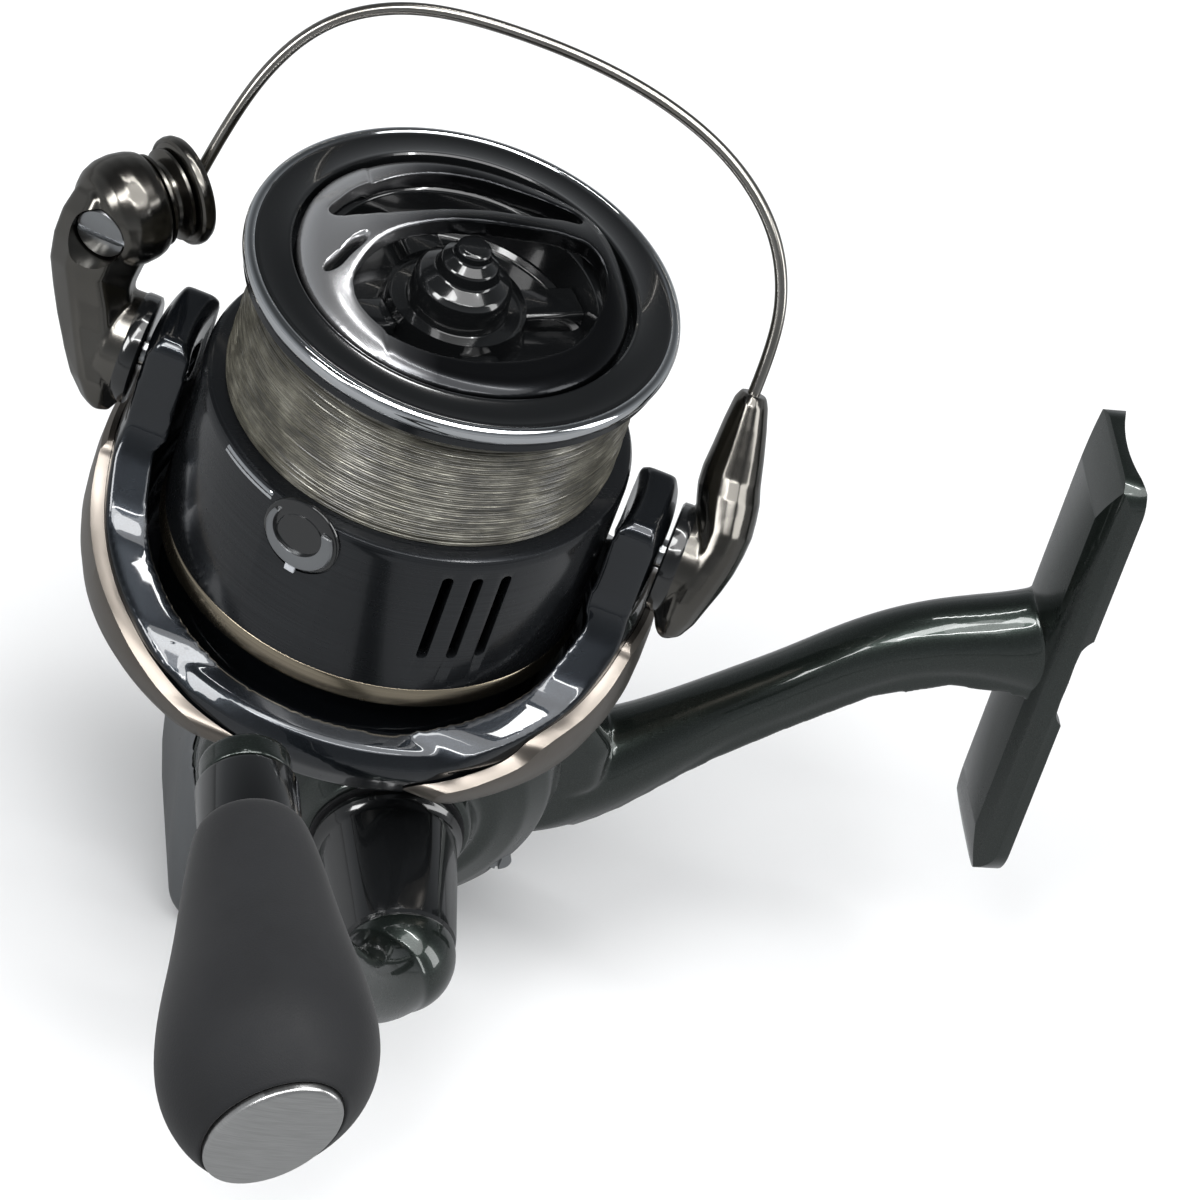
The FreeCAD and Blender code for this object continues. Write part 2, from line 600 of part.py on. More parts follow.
def build_bail():
    edge = slab_xz([(1.6, -6.9, 0.8), (5.2, -6.9, 2.0), (6.9, 0.5, 12), (7.2, 8.0, 12), (5.8, 14.5, 12),
                    (4.3, 18.4, 0.8), (0.8, 18.4, 0.8), (-0.3, 12.0, 6), (0.8, 9.0, 2), (3.6, 5.2, 3),
                    (3.4, -3.0, 2), (1.6, -4.2, 0.5)], -12, 12)
    edge.translate(V(boss_face, 0, 0))
    side = slab_yz([(-4.6, -6.9, 4), (-5.8, 2.0, 6), (-3.9, 18.4, 1.5), (2.6, 18.4, 1.5), (5.6, 4.0, 8),
                    (4.6, -6.9, 4)], 0, 60)
    arm = fuse([edge.common(side), pivot_boss(1)]).cut([pivot_bore(1)])
    save("bail_arm", on_bail(arm))

    edge = slab_xz([(-0.9, -6.8, 0.6), (-4.0, -6.8, 2.5), (-8.6, 0.8, 12), (-12.0, 7.5, 7), (-10.6, 13.6, 2),
                    (-6.4, 14.6, 1), (-5.0, 8.6, 3), (-3.4, 4.0, 3), (-2.8, -2.6, 1.5), (-0.9, -4.0, 0.4)], -12, 12)
    edge.translate(V(-boss_face, 0, 0))
    side = slab_yz([(-4.6, -6.8, 4), (-8.2, 4.0, 8), (-10.2, 12.0, 5), (-3.0, 16.0, 5), (3.2, 10.0, 6),
                    (5.2, 1.0, 8), (4.6, -6.8, 4)], -60, 0)
    plate = edge.common(side)
    housing = on_roller(turned([(0, housing_start), (5.2, housing_start), (5.8, housing_start + 1.0),
                                (5.9, housing_start + 2.0), (5.2, housing_end - 1.2), (4.0, housing_end), (0, housing_end)]))
    screw_seat = on_roller(rod(2.75, housing_end - 1.7, housing_end + 6))
    axle_hole = on_roller(rod(axle_radius, 0, housing_end))
    lever = fuse([plate, housing, pivot_boss(-1)]).cut([pivot_bore(-1), screw_seat, axle_hole])
    room = on_roller(rod(roller_radius + 1.2, -4, housing_start))
    lever = lever.cut(room)
    save("bail_lever", on_bail(max(lever.Solids, key=lambda solid: solid.Volume)))
    head = rod(2.6, housing_end - 1.7, housing_end - 0.3).cut(block(-0.35, 0.35, -4, 4, housing_end - 0.9, housing_end + 1))
    save("roller_screw", on_bail(on_roller(fuse([head, rod(axle_radius, -support_half + 0.4, housing_end - 1.7)]))))
    support = turned([(axle_radius, -support_half), (support_radius - 0.5, -support_half),
                      (support_radius, -support_half + 0.5), (support_radius, support_half - 0.4),
                      (support_radius - 0.3, support_half), (axle_radius, support_half)])
    save("wire_support", on_bail(on_roller(support)))
    groove = roller_start + roller_length / 2
    bearing_hole = 2.4
    save("line_roller", on_bail(on_roller(turned([
        (bearing_hole, roller_start), (roller_radius, roller_start), (roller_radius, roller_start + 0.6),
        (roller_radius - 0.9, groove - 0.6), (roller_radius - 0.9, groove + 0.6),
        (roller_radius, roller_start + roller_length - 0.6), (roller_radius, roller_start + roller_length),
        (bearing_hole, roller_start + roller_length)]))))
    save("roller_bearing", on_bail(on_roller(ring(axle_radius + run_gap, bearing_hole, groove - 1.2, groove + 1.2))))
    root = support_centre + V(0.4, 0.3, 4.0)
    wire = tube_along([root, V(-26.3, 0, 31.0), V(-21.6, 0, 39.2), V(-10.5, 0, 43.2), V(7.5, 0, 43.6),
                       V(19.6, 0, 40.2), V(boss_face + 0.6, 0, 32.0), V(boss_face + 2.4, 0, 24.6), V(boss_face + 2.5, 0, 18.4)], wire_radius)
    reach = on_roller(rod(support_radius + 3, -support_half, 8))
    save("bail_wire", on_bail(wire.cut(reach)))


# ---- body ------------------------------------------------------------------------------------------------------
drum_radius = 19.2      # round housing of the drive gear, closed by the side cover
drum_wall = 1.5
flat_near = -6.8        # near side of the body beside the drum
disc_radius = 19.4      # front disc that carries the nose


def body_slab(near, far, inset=0.0):
    """Prism with the body's side outline, shrunk all round by the inset."""
    face = outline([(-13.6, body_front, 2), (-14.0, -66.0, 24), (-11.8, -82.0, 20), (-9.6, -92.5, 6),
                    (5.5, -92.5, 9), (17.0, -77.0, 12), (31.5, -63.5, 3), (31.0, -57.5, 3), (24.0, body_front, 4)])
    if inset:
        face = Part.Face(face.OuterWire.makeOffset2D(-inset))
    face.rotate(ORIGIN, V(1, 0, 0), 90)
    face.translate(V(0, near, 0))
    return face.extrude(V(0, far - near, 0))


def soft_slab():
    """The body's outer form beside the drum, with rounded rims."""
    body = body_slab(flat_near, body_far)
    rims = [edge for edge in body.Edges if abs(edge.Vertexes[0].Y - edge.Vertexes[-1].Y) < 1e-3]
    return body.makeFillet(2.4, rims)


def drum(inset=0.0):
    """Domed housing of the drive gear about the drive axis, open towards the body."""
    top = -body_near - inset
    edge = drum_radius - inset
    profile = [(0, -2), (edge, -2), (edge, top - 6.2), (edge - 1.6, top - 3.4), (edge - 4.2, top - 1.2),
               (edge - 7.2, top), (0, top)]
    return on_drive(turned(profile))


stem_x = 34.4           # where the stem leaves the body
stem_z = -62.6


def build_stem():
    """Lofted stem from the body to the foot."""
    sections = [(19.0, -69.0, 45, 7.4, 6.4, -1.0), (27.5, -66.2, 42, 6.6, 6.0, -1.0), (stem_x, stem_z, 42, 5.2, 5.0, -0.6)]
    run = seat_height - stem_x
    rise = seat_z - stem_z
    sections += [(stem_x + run * out, stem_z + rise * up, heading, thick, wide, 0) for out, up, heading, thick, wide in [
        (0.1667, 0.2424, 41, 4.0, 4.2), (0.3524, 0.5368, 41, 3.7, 3.9), (0.5381, 0.8139, 32, 3.9, 4.0),
        (0.7167, 0.9524, 12, 4.4, 4.4), (0.8595, 0.987, 4, 5.6, 4.9), (0.9619, 1.0043, 4, 8.2, 5.4)]]
    wires = []
    for x, z, heading, half_thick, half_wide, y in sections:
        slope = math.radians(heading)
        up = V(-math.sin(slope), 0, math.cos(slope))
        wires.append(oval(V(x, y, z), V(0, 1, 0), up, half_wide, half_thick))
    return Part.makeLoft(wires, True, False)


def build_foot():
    """Saddle-shaped plate with two flat lands along its edges, interrupted in the middle."""
    edge = foot_width / 2
    length = foot_front + foot_back
    plan = to_yz(outline([(-edge, -foot_back, 6.2), (edge, -foot_back, 6.2), (edge, foot_front, 3.2), (-edge, foot_front, 3.2)]))
    plan.translate(V(-8, 0, 0))
    plate = plan.extrude(V(8, 0, 0))
    taper = slab_xz([(0, foot_front, 0), (-1.7, foot_front, 0), (-4.8, 9, 12), (-4.8, -9, 12), (-1.7, -foot_back, 0),
                     (0, -foot_back, 0)], -10, 10)
    back = Part.makeCylinder(9.6, length + 2, V(5.0, 0, -foot_back - 1))
    hollow = Part.makeCylinder(rod_radius, length + 2, V(rod_radius - rod_hollow, 0, -foot_back - 1))
    relief = slab_xz([(1, 8.4, 0), (-1.0, 6.2, 0), (-1.0, -3.2, 0), (1, -5.4, 0)], -10, 10)
    foot = plate.common(taper).common(back)
    return seat_turn(foot), seat_turn(hollow.fuse(relief))


def seat_turn(shape):
    shape.rotate(ORIGIN, V(0, 1, 0), -foot_tilt)
    shape.translate(SEAT)
    return shape


bearing_ring = 5.5
boss_out = 18.0
screw_headings = (-30, -100, -165)


def build_body():
    stem = build_stem()
    foot, foot_cut = build_foot()
    outer = soft_slab()
    front = block(-60, 60, -60, 60, -120, body_front)
    room = body_slab(-3, body_far - body_wall, body_wall)
    room = room.fuse(body_slab(flat_near + body_wall, -2.5, body_wall))
    room = room.common(block(-40, 23.2, -40, 40, -120, body_front - 1.6))
    opening = on_drive(rod(drum_radius - drum_wall, -split_y - 2.5, 30))
    nose = ring(nose_radius - 0.8, nose_radius, body_front - 1.8, nose_front)
    disc = ring(nose_radius - 0.8, disc_radius, body_front - 1.8, body_front)
    throat = rod(nose_radius - 0.8, body_front - 3, body_front + 1)
    gear_room = on_drive(rod(face_outer + 0.6, 1.9, 10.6))

    guard_zone = slab_xz([(-20, -47, 0), (-10.2, -47, 0), (-11.2, -66, 10), (-7.6, -79.0, 7), (2.0, -85.0, 6),
                          (6.0, -98, 0), (-20, -98, 0)], -30, 30)
    guard = outer.common(guard_zone).cut([body_slab(flat_near + 0.8, body_far - 0.8, 0.8), drum(-0.05)])
    save("rear_guard", max(guard.Solids, key=lambda solid: solid.Volume))

    near_bore = on_drive(rod(bearing_ring, body_wall, boss_out + 1))
    far_bore = on_drive(rod(bearing_ring, -body_far - 1, -8))
    far_boss = on_drive(ring(bearing_ring, 6.3, -body_far + 0.5, -9.3))
    near_boss = on_drive(turned([(bearing_ring, 11.6), (7.2, 11.6), (7.2, 13.0), (10.6, 15.0), (9.4, 16.2),
                                 (8.7, boss_out), (bearing_ring, boss_out)]))
    worm_walls = [block(worm_at.x - 3.2, worm_at.x + 3.2, worm_at.y - 3.2, body_far - 0.8, body_front - 1.8, body_front - 0.4),
                  block(worm_at.x - 3.2, worm_at.x + 3.2, worm_at.y - 3.2, body_far - 0.8, -90.6, worm_back + 1.2)]
    worm_holes = [rod(1.9, worm_back - 0.2, -80, worm_at.x, worm_at.y),
                  rod(worm_radius + 0.35, worm_back + 1.3, body_front - 2.8, worm_at.x, worm_at.y), rod(1.9, -52, worm_front + 0.2, worm_at.x, worm_at.y)]
    guide_lug = block(guide_at.x - 2.4, guide_at.x + 2, guide_at.y - 2, body_far - 0.8, -90.6, worm_back + 1.2)
    guide_hole = rod(guide_radius, worm_back - 0.2, -55.4, guide_at.x, guide_at.y)
    idler_boss = rod(1.0, train_low - 0.6, train_high + 2.4, idler_at.x, idler_at.y)
    idler_arm = block(idler_at.x - 1.6, idler_at.x + 1.6, idler_at.y - 1.6, body_far - 0.8, train_high + 0.7, body_front - 1.4)
    rear_seat = ring(5.0, 5.9, -57.4, -55.6)
    seat_web = block(-2.2, 2.2, 5.4, body_far - 0.8, -57.4, -55.6)
    guide_seat = fuse([rod(2.2, -57.4, -55.6, guide_at.x, guide_at.y),
                       block(guide_at.x - 1.2, guide_at.x + 1.2, guide_at.y, body_far - 0.8, -57.4, -55.6)])
    guide_seat = guide_seat.cut(rod(5.0, -60, -50))
    screws = []
    frame_posts = []
    cover_posts = []
    shank_holes = []
    head_seats = []
    reach = drum_radius - drum_wall - 0.35
    for heading in screw_headings:
        x = drive_x + reach * math.cos(math.radians(heading))
        z = drive_z + reach * math.sin(math.radians(heading))
        frame_posts.append(outwards(rod(1.6, 2.9, -split_y), x, z))
        cover_posts.append(outwards(rod(1.6, -split_y, 11.6), x, z))
        shank_holes.append(outwards(rod(0.75, 3.4, 20), x, z))
        head_seats.append(outwards(rod(1.35, 11.2, 20), x, z))
        head = rod(1.3, 11.2, 12.0).cut(block(-0.2, 0.2, -3, 3, 11.6, 13))
        screws.append(outwards(fuse([head, rod(0.75, 3.4, 11.2)]), x, z))
    save("cover_screws", Part.makeCompound(screws))

    bosses = [part.common(body_slab(flat_near + 0.5, body_far - 0.5, body_wall * 0.5)) for part in worm_walls + [guide_lug]]
    inner = [idler_arm, idler_boss, rear_seat, seat_web, guide_seat, far_boss] + bosses
    frame = outer.cut([room, throat, opening])
    frame = fuse([frame, nose, disc, stem.cut(room), foot] + inner + [post.common(outer) for post in frame_posts])
    frame = frame.cut([gear_room, near_bore, far_bore, foot_cut, guard, guide_hole] + worm_holes + shank_holes)
    frame = frame.cut(on_drive(rod(60, -split_y, 30)).common(front))
    save("body_frame", max(frame.Solids, key=lambda solid: solid.Volume))

    behind = block(-60, 60, split_y, 60, -120, 0)
    shell = drum().cut([drum(drum_wall), behind])
    posts = [post.common(drum()) for post in cover_posts]
    cover = fuse([shell, near_boss] + posts).common(block(-60, 60, -60, 60, -120, body_front - 1.85))
    cover = cover.cut([near_bore] + shank_holes + head_seats)
    save("side_cover", max(cover.Solids, key=lambda solid: solid.Volume))

    save("handle_seal", on_drive(ring(drive_radius + 0.5, 8.1, boss_out, boss_out + 0.35)))
    save("far_cap", on_drive(turned([(0, -body_far - 1.6), (6.6, -body_far - 1.6), (7.6, -body_far - 1.0), (7.6, -body_far),
                                     (5.2, -body_far), (5.2, -body_far + 0.4), (0, -body_far + 0.4)])
                             .cut(block(-4.5, 4.5, -0.6, 0.6, -body_far - 2, -body_far - 1.0))))
    save("drive_bearings", Part.makeCompound([on_drive(ring(drive_radius + run_gap, bearing_ring, 12.2, 15.2)),
                                              on_drive(ring(drive_radius + run_gap, bearing_ring, -12.6, -9.6))]))
    save("guide_rod", rod(guide_radius, worm_back, -55.6, guide_at.x, guide_at.y))
    save("worm_bushes", Part.makeCompound([ring(1.2 + run_gap, 1.9, worm_back - 0.2, worm_back + 1.2),
                                           ring(1.2 + run_gap, 1.9, worm_front - 1.2, worm_front + 0.1)])
         .translated(worm_at))


def build_clutch():
    plate_low = -43.2
    plate = turned([(bearing_seat, plate_low), (nose_radius - 0.8, plate_low), (nose_radius - 0.8, plate_low + 1.4),
                    (7.6, plate_low + 1.4), (7.6, clutch_low - 0.2), (bearing_seat, clutch_low - 0.2)])
    save("bearing_plate", plate)
    save("pinion_bearings", Part.makeCompound([ring(pinion_tube + run_gap, bearing_seat, -42.6, -40.2),
                                               ring(pinion_tube + run_gap, 5.0, -57.4, -55.6)]))
    roller = 0.9
    track = sleeve_outer + 0.04 + 2 * roller
    save("clutch_housing", turned([(track + 0.04, clutch_low), (nose_radius - 0.8, clutch_low),
                                   (nose_radius - 0.8, clutch_high - 0.6), (12.0, clutch_high - 0.2),
                                   (track + 0.04, clutch_high - 0.2)]))
    rollers = []
    for index in range(8):
        angle = math.radians(45 * index)
        reach = sleeve_outer + 0.04 + roller
        rollers.append(rod(roller, clutch_low + 0.4, clutch_high - 0.6, reach * math.cos(angle), reach * math.sin(angle)))
    save("clutch_rollers", Part.makeCompound(rollers))


def build_train():
    """Idler gear, worm gear and worm shaft that drive the slider."""
    to_idler = math.degrees(math.atan2(idler_at.y, idler_at.x))
    offset = tooth_offset(pinion_teeth, -90, to_idler)
    idler_turn = to_idler + 180 + (offset + 0.5) * 360.0 / idler_teeth
    idler = spur_gear(idler_teeth, 1.0 + run_gap, train_low, train_high)
    idler.rotate(ORIGIN, V(0, 0, 1), idler_turn)
    idler.translate(idler_at)
    save("idler_gear", idler)
    to_worm = math.degrees(math.atan2(worm_at.y - idler_at.y, worm_at.x - idler_at.x))
    offset = tooth_offset(idler_teeth, idler_turn, to_worm)
    worm_turn = to_worm + 180 + (offset + 0.5) * 360.0 / worm_teeth
    gear = spur_gear(worm_teeth, 1.6, train_low, train_high)
    gear.rotate(ORIGIN, V(0, 0, 1), worm_turn)
    gear.translate(worm_at)
    save("worm_gear", gear)
    shaft = fuse([rod(1.2, worm_back, worm_front), rod(1.6, worm_back + 1.4, worm_front - 1.6),
                  rod(worm_radius, worm_back + 1.6, -60.0)])
    grooves = [ring(worm_radius - 0.5, worm_radius + 1, low, low + 1.0)
               for low in (worm_back + 2.6 + 2.2 * step for step in range(11))]
    shaft = shaft.cut(grooves)
    shaft.translate(worm_at)
    save("worm_shaft", shaft)


# ---- handle -------------------------------------------------------------------------------------------------------
def build_handle():
    gear = on_drive(face_gear())
    save("drive_gear", gear)
    shank = 2.1
    save("drive_shaft", on_drive(ring(shank, drive_radius, -13.2, 17.6)))
    collar = turned([(0, 3.0), (shank, 3.0), (shank, 17.6), (drive_radius + 0.1, 17.6), (drive_radius + 0.1, collar_start),
                     (collar_base, collar_start), (collar_base, collar_start + 0.9), (7.15, collar_start + 1.5),
                     (collar_tip, collar_end), (0, collar_end)])
    save("handle_shank", on_drive(collar))

    root = V(drive_x, -collar_end, drive_z)
    route = [(0, 0.0, 0, 5.6, 5.6), (-0.4, 1.6, 0.1, 5.4, 5.4), (-4.2, 6.4, 2.0, 4.8, 4.4), (-9.8, 11.4, 8.4, 4.0, 3.4),
             (-15.8, 15.6, 19.0, 3.5, 2.6), (-21.8, 17.9, 31.4, 3.7, 1.9),
             (knob_x - drive_x, arm_end - 2.0 - collar_end, knob_z - drive_z, 4.2, 1.3)]
    run = V(knob_x - drive_x, 0, knob_z - drive_z).normalize()
    across = V(run.z, 0, -run.x)
    centres = [root + V(x, -out, z) for x, out, z, _, _ in route]
    wires = []
    for index, (_, _, _, half_wide, half_thick) in enumerate(route):
        along = V(0, -1, 0) if index < 1 else centres[min(index + 1, len(centres) - 1)] - centres[index - 1]
        along = (run if index == len(route) - 1 else along).normalize()
        wires.append(oval(centres[index], across, across.cross(along), half_wide, half_thick))
    arm = Part.makeLoft(wires, True, False)
    dome = Part.makeSphere(5.85, root + V(0, -1.0, 0)).common(on_drive(rod(7, collar_end, 60)))
    eye = on_knob(rod(4.3, arm_end - 2.6, arm_end))
    save("handle_arm", fuse([arm, dome, eye]))

    pin = 1.6
    pin_end = knob_end - 6.8
    core_end = knob_end - 4.8
    save("knob_shaft", on_knob(rod(pin, arm_end, pin_end)))
    save("knob_screw", on_knob(rod(2.6, pin_end, pin_end + 1.2).cut(block(-0.3, 0.3, -3, 3, pin_end + 0.7, core_end))))
    seat = 3.2
    core_outer = 4.2
    save("knob_bearings", Part.makeCompound([on_knob(ring(pin + run_gap, seat, start, start + 2.4)) for start in (knob_start + 2.7, pin_end - 3.0)]))
    save("knob_core", on_knob(ring(seat, core_outer, knob_start + 0.5, core_end)))
    save("knob_collar", on_knob(turned([(core_outer, knob_start), (4.5, knob_start), (4.8, knob_start + 0.3), (4.8, knob_start + 5.6),
                                        (core_outer, knob_start + 5.6)])))
    grip_start = knob_start + 5.6
    lean = math.radians(61)
    wide = V(math.cos(lean), math.sin(lean), 0)
    high = V(-math.sin(lean), math.cos(lean), 0)
    grip_length = knob_end - 0.6 - grip_start
    shape = [(0, 4.9, 4.8), (0.053, 5.9, 5.6), (0.19, 6.9, 6.3), (0.445, 8.7, 7.7), (0.67, 10.5, 9.2), (0.84, 10.5, 9.0),
             (0.945, 9.2, 7.0), (1, 7.9, 5.4)]
    grip = Part.makeLoft([oval(V(0, 0, grip_start + share * grip_length), wide, high, a, b) for share, a, b in shape],
                         True, False)
    cap_low = knob_end - 1.6
    pocket = Part.Face(oval(V(0, 0, cap_low), wide, high, 7.4, 4.8)).extrude(V(0, 0, 4))
    grip = grip.cut([rod(core_outer, grip_start - 1, core_end), pocket, rod(seat, core_end - 1, cap_low + 1)])
    save("knob_grip", on_knob(grip))
    cap = Part.makeLoft([oval(V(0, 0, z), wide, high, a, b)
                         for z, a, b in ((cap_low, 7.4, 4.8), (knob_end - 0.1, 7.35, 4.75), (knob_end + 0.4, 6.9, 4.3))], True, True)
    save("knob_cap", on_knob(cap))


os.makedirs("parts", exist_ok=True)
build_spool()
build_drag()
build_shaft()
build_rotor()
build_bail()
build_body()
build_clutch()
build_train()
build_handle()
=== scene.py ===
import math

import bpy
from mathutils import Matrix, Vector


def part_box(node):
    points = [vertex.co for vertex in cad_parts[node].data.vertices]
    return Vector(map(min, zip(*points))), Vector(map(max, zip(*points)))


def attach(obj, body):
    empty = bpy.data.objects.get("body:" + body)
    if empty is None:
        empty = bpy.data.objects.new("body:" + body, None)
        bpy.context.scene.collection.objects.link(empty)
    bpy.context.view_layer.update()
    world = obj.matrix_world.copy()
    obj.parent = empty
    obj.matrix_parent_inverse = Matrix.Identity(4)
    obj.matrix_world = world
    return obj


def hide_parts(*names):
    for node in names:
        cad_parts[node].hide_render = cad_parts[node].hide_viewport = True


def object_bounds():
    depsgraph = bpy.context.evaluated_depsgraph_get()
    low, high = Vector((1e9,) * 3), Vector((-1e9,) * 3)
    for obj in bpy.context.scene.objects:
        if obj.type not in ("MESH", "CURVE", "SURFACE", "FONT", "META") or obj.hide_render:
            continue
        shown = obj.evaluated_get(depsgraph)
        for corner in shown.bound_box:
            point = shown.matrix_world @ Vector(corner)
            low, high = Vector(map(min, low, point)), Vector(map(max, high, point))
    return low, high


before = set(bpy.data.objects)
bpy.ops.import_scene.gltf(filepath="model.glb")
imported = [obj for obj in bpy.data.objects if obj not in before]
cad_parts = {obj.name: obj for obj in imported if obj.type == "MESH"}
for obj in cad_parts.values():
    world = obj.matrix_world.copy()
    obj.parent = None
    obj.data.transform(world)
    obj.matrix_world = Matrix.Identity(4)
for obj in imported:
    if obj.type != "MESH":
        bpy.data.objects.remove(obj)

cad_bounds = [list(corner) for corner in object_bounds()]


# ---- Line winding -----------------------------------------------------------------------------
# Nylon line, about a quarter of a millimetre thick, wound side by side over the spool's drum.
# Each turn stands as a small ridge, and the gloss of the line breaks into short streaks; pale streaks painted
# into its colour stand in for glints.

MM = 0.001
shaft_low, shaft_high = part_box("main_shaft")
lip_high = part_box("spool_lip")[1].z
shaft_x = (shaft_low.x + shaft_high.x) / 2
lip_level = lip_high - 0.6 * MM
UP = Vector((0, 0, 1))


def at(x, y, z):
    """Millimetres from the main shaft and the spool's lip, as a point of the model."""
    return Vector((shaft_x + x * MM, y * MM, lip_level + z * MM))


def deselect():
    bpy.ops.object.select_all(action="DESELECT")


def only(piece):
    deselect()
    piece.select_set(True)
    bpy.context.view_layer.objects.active = piece


def settle(piece):
    """Puts the piece's place into its mesh."""
    only(piece)
    bpy.ops.object.transform_apply(location=True, rotation=True, scale=True)


def modify(piece, kind, **settings):
    only(piece)
    modifier = piece.modifiers.new(kind.lower(), kind)
    for key, value in settings.items():
        setattr(modifier, key, value)
    bpy.ops.object.modifier_apply(modifier=modifier.name)


def round_edges(piece, width, segments=2, degrees=35):
    """Bevels every edge that is sharper than the angle, to a width in millimetres."""
    modify(piece, "BEVEL", width=width * MM, segments=segments, limit_method="ANGLE",
        angle_limit=math.radians(degrees))


def shade(piece, degrees=35):
    only(piece)
    bpy.ops.object.shade_smooth_by_angle(angle=math.radians(degrees))


def turn(name, profile, origin, axis=UP, steps=160, rim=0.0):
    """Spins an outline of (radius, distance along the axis), in millimetres, about the axis."""
    axis = axis.normalized()
    side = axis.orthogonal().normalized()
    points = [origin + side * radius * MM + axis * along * MM for radius, along in profile]
    if profile[0][0] > 0 or profile[-1][0] > 0:
        points.append(points[0])
    deselect()
    bpy.ops.mesh.primitive_plane_add(size=MM, location=points[0])
    piece = bpy.context.object
    piece.name = name
    bpy.ops.object.mode_set(mode="EDIT")
    bpy.ops.mesh.select_all(action="SELECT")
    bpy.ops.mesh.merge(type="CENTER")
    for here, there in zip(points, points[1:]):
        bpy.ops.mesh.extrude_vertices_move(TRANSFORM_OT_translate={"value": there - here})
    bpy.ops.mesh.select_all(action="SELECT")
    bpy.ops.mesh.remove_doubles(threshold=1e-7)
    bpy.ops.mesh.spin(steps=steps, angle=2 * math.pi, center=origin, axis=axis)
    bpy.ops.mesh.select_all(action="SELECT")
    bpy.ops.mesh.remove_doubles(threshold=2e-6)
    bpy.ops.mesh.normals_make_consistent(inside=False)
    bpy.ops.object.mode_set(mode="OBJECT")
    settle(piece)
    if rim:
        round_edges(piece, rim, 3, 28)
    shade(piece)
    return piece


def math_node(tree, operation, first, second=None, third=None):
    node = tree.nodes.new("ShaderNodeMath")
    node.operation = operation
    for socket, value in zip(node.inputs, (first, second, third)):
        if value is None:
            continue
        if isinstance(value, (int, float)):
            socket.default_value = value
        else:
            tree.links.new(value, socket)
    return node.outputs[0]


def noise(tree, vector, scale, detail=3.0, roughness=0.5):
    node = tree.nodes.new("ShaderNodeTexNoise")
    node.inputs["Scale"].default_value = scale
    node.inputs["Detail"].default_value = detail
    node.inputs["Roughness"].default_value = roughness
    tree.links.new(vector, node.inputs["Vector"])
    return node.outputs["Fac"]


def stretched(tree, vector, scale, location=(0, 0, 0), rotation=(0, 0, 0)):
    node = tree.nodes.new("ShaderNodeMapping")
    node.inputs["Location"].default_value = location
    node.inputs["Rotation"].default_value = rotation
    node.inputs["Scale"].default_value = scale
    tree.links.new(vector, node.inputs["Vector"])
    return node.outputs["Vector"]


def spread(tree, value, low, high, to_low=0.0, to_high=1.0):
    node = tree.nodes.new("ShaderNodeMapRange")
    node.inputs["From Min"].default_value = low
    node.inputs["From Max"].default_value = high
    node.inputs["To Min"].default_value = to_low
    node.inputs["To Max"].default_value = to_high
    tree.links.new(value, node.inputs["Value"])
    return node.outputs["Result"]


def colours(tree, value, stops):
    ramp = tree.nodes.new("ShaderNodeValToRGB")
    while len(ramp.color_ramp.elements) < len(stops):
        ramp.color_ramp.elements.new(0.5)
    for element, (position, colour) in zip(ramp.color_ramp.elements, stops):
        element.position = position
        element.color = (*colour, 1)
    tree.links.new(value, ramp.inputs["Fac"])
    return ramp.outputs["Color"]


def around_shaft(group, vector, centre):
    """Angle about an upright line and the height, in one vector: (angle, height, radius)."""
    shift = stretched(group, vector, (1, 1, 1), location=(-centre.x, -centre.y, -centre.z))
    parts = group.nodes.new("ShaderNodeSeparateXYZ")
    group.links.new(shift, parts.inputs[0])
    angle = math_node(group, "ARCTAN2", parts.outputs[1], parts.outputs[0])
    squares = [math_node(group, "POWER", parts.outputs[index], 2.0) for index in (0, 1)]
    radius = math_node(group, "SQRT", math_node(group, "ADD", *squares))
    joined = group.nodes.new("ShaderNodeCombineXYZ")
    group.links.new(angle, joined.inputs[0])
    group.links.new(parts.outputs[2], joined.inputs[1])
    group.links.new(radius, joined.inputs[2])
    return joined.outputs[0]


def material(name, **settings):
    """A new material with its Principled shader set, ready for the nodes that vary it."""
    made = bpy.data.materials.new(name)
    made.use_nodes = True
    shader = made.node_tree.nodes["Principled BSDF"]
    for key, value in settings.items():
        shader.inputs[key.replace("_", " ")].default_value = (*value, 1) if isinstance(value, tuple) else value
    place = made.node_tree.nodes.new("ShaderNodeTexCoord").outputs["Object"]
    return made, made.node_tree, shader, place


def bump(tree, shader, height, distance, strength=1.0):
    node = tree.nodes.new("ShaderNodeBump")
    node.inputs["Distance"].default_value = distance
    node.inputs["Strength"].default_value = strength
    tree.links.new(height, node.inputs["Height"])
    tree.links.new(node.outputs["Normal"], shader.inputs["Normal"])


def dress(piece, finish, body, slot, *replaced):
    """Gives the piece its material and the body that it moves with."""
    piece.data.materials.clear()
    piece.data.materials.append(finish)
    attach(piece, body)
    if replaced:
        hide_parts(*replaced)


line_pitch = 0.27
line_low, line_high = -16.98, -3.02
core_radius = 15.6
full_radius = 20.12
front_taper = 0.28
end_dip = 0.18
line_profile = [(core_radius, line_high), (core_radius, line_low)]
turn_count = int((line_high - line_low) / line_pitch)
for index in range(turn_count):
    height = line_low + (index + 0.5) * line_pitch
    share = (height - line_low) / (line_high - line_low)
    level = full_radius - front_taper * share + 0.05 * math.sin(index * 1.7) + 0.04 * math.sin(index * 0.63)
    if index < 3 or index > turn_count - 3:
        level -= end_dip
    for dip, shift in ((0.09, -0.12), (0, -0.05), (0, 0.05), (0.09, 0.12)):
        line_profile.append((level - dip, height + shift))
winding = turn("line_turns", line_profile, at(0, 0, 0), steps=180)
shade(winding, 60)

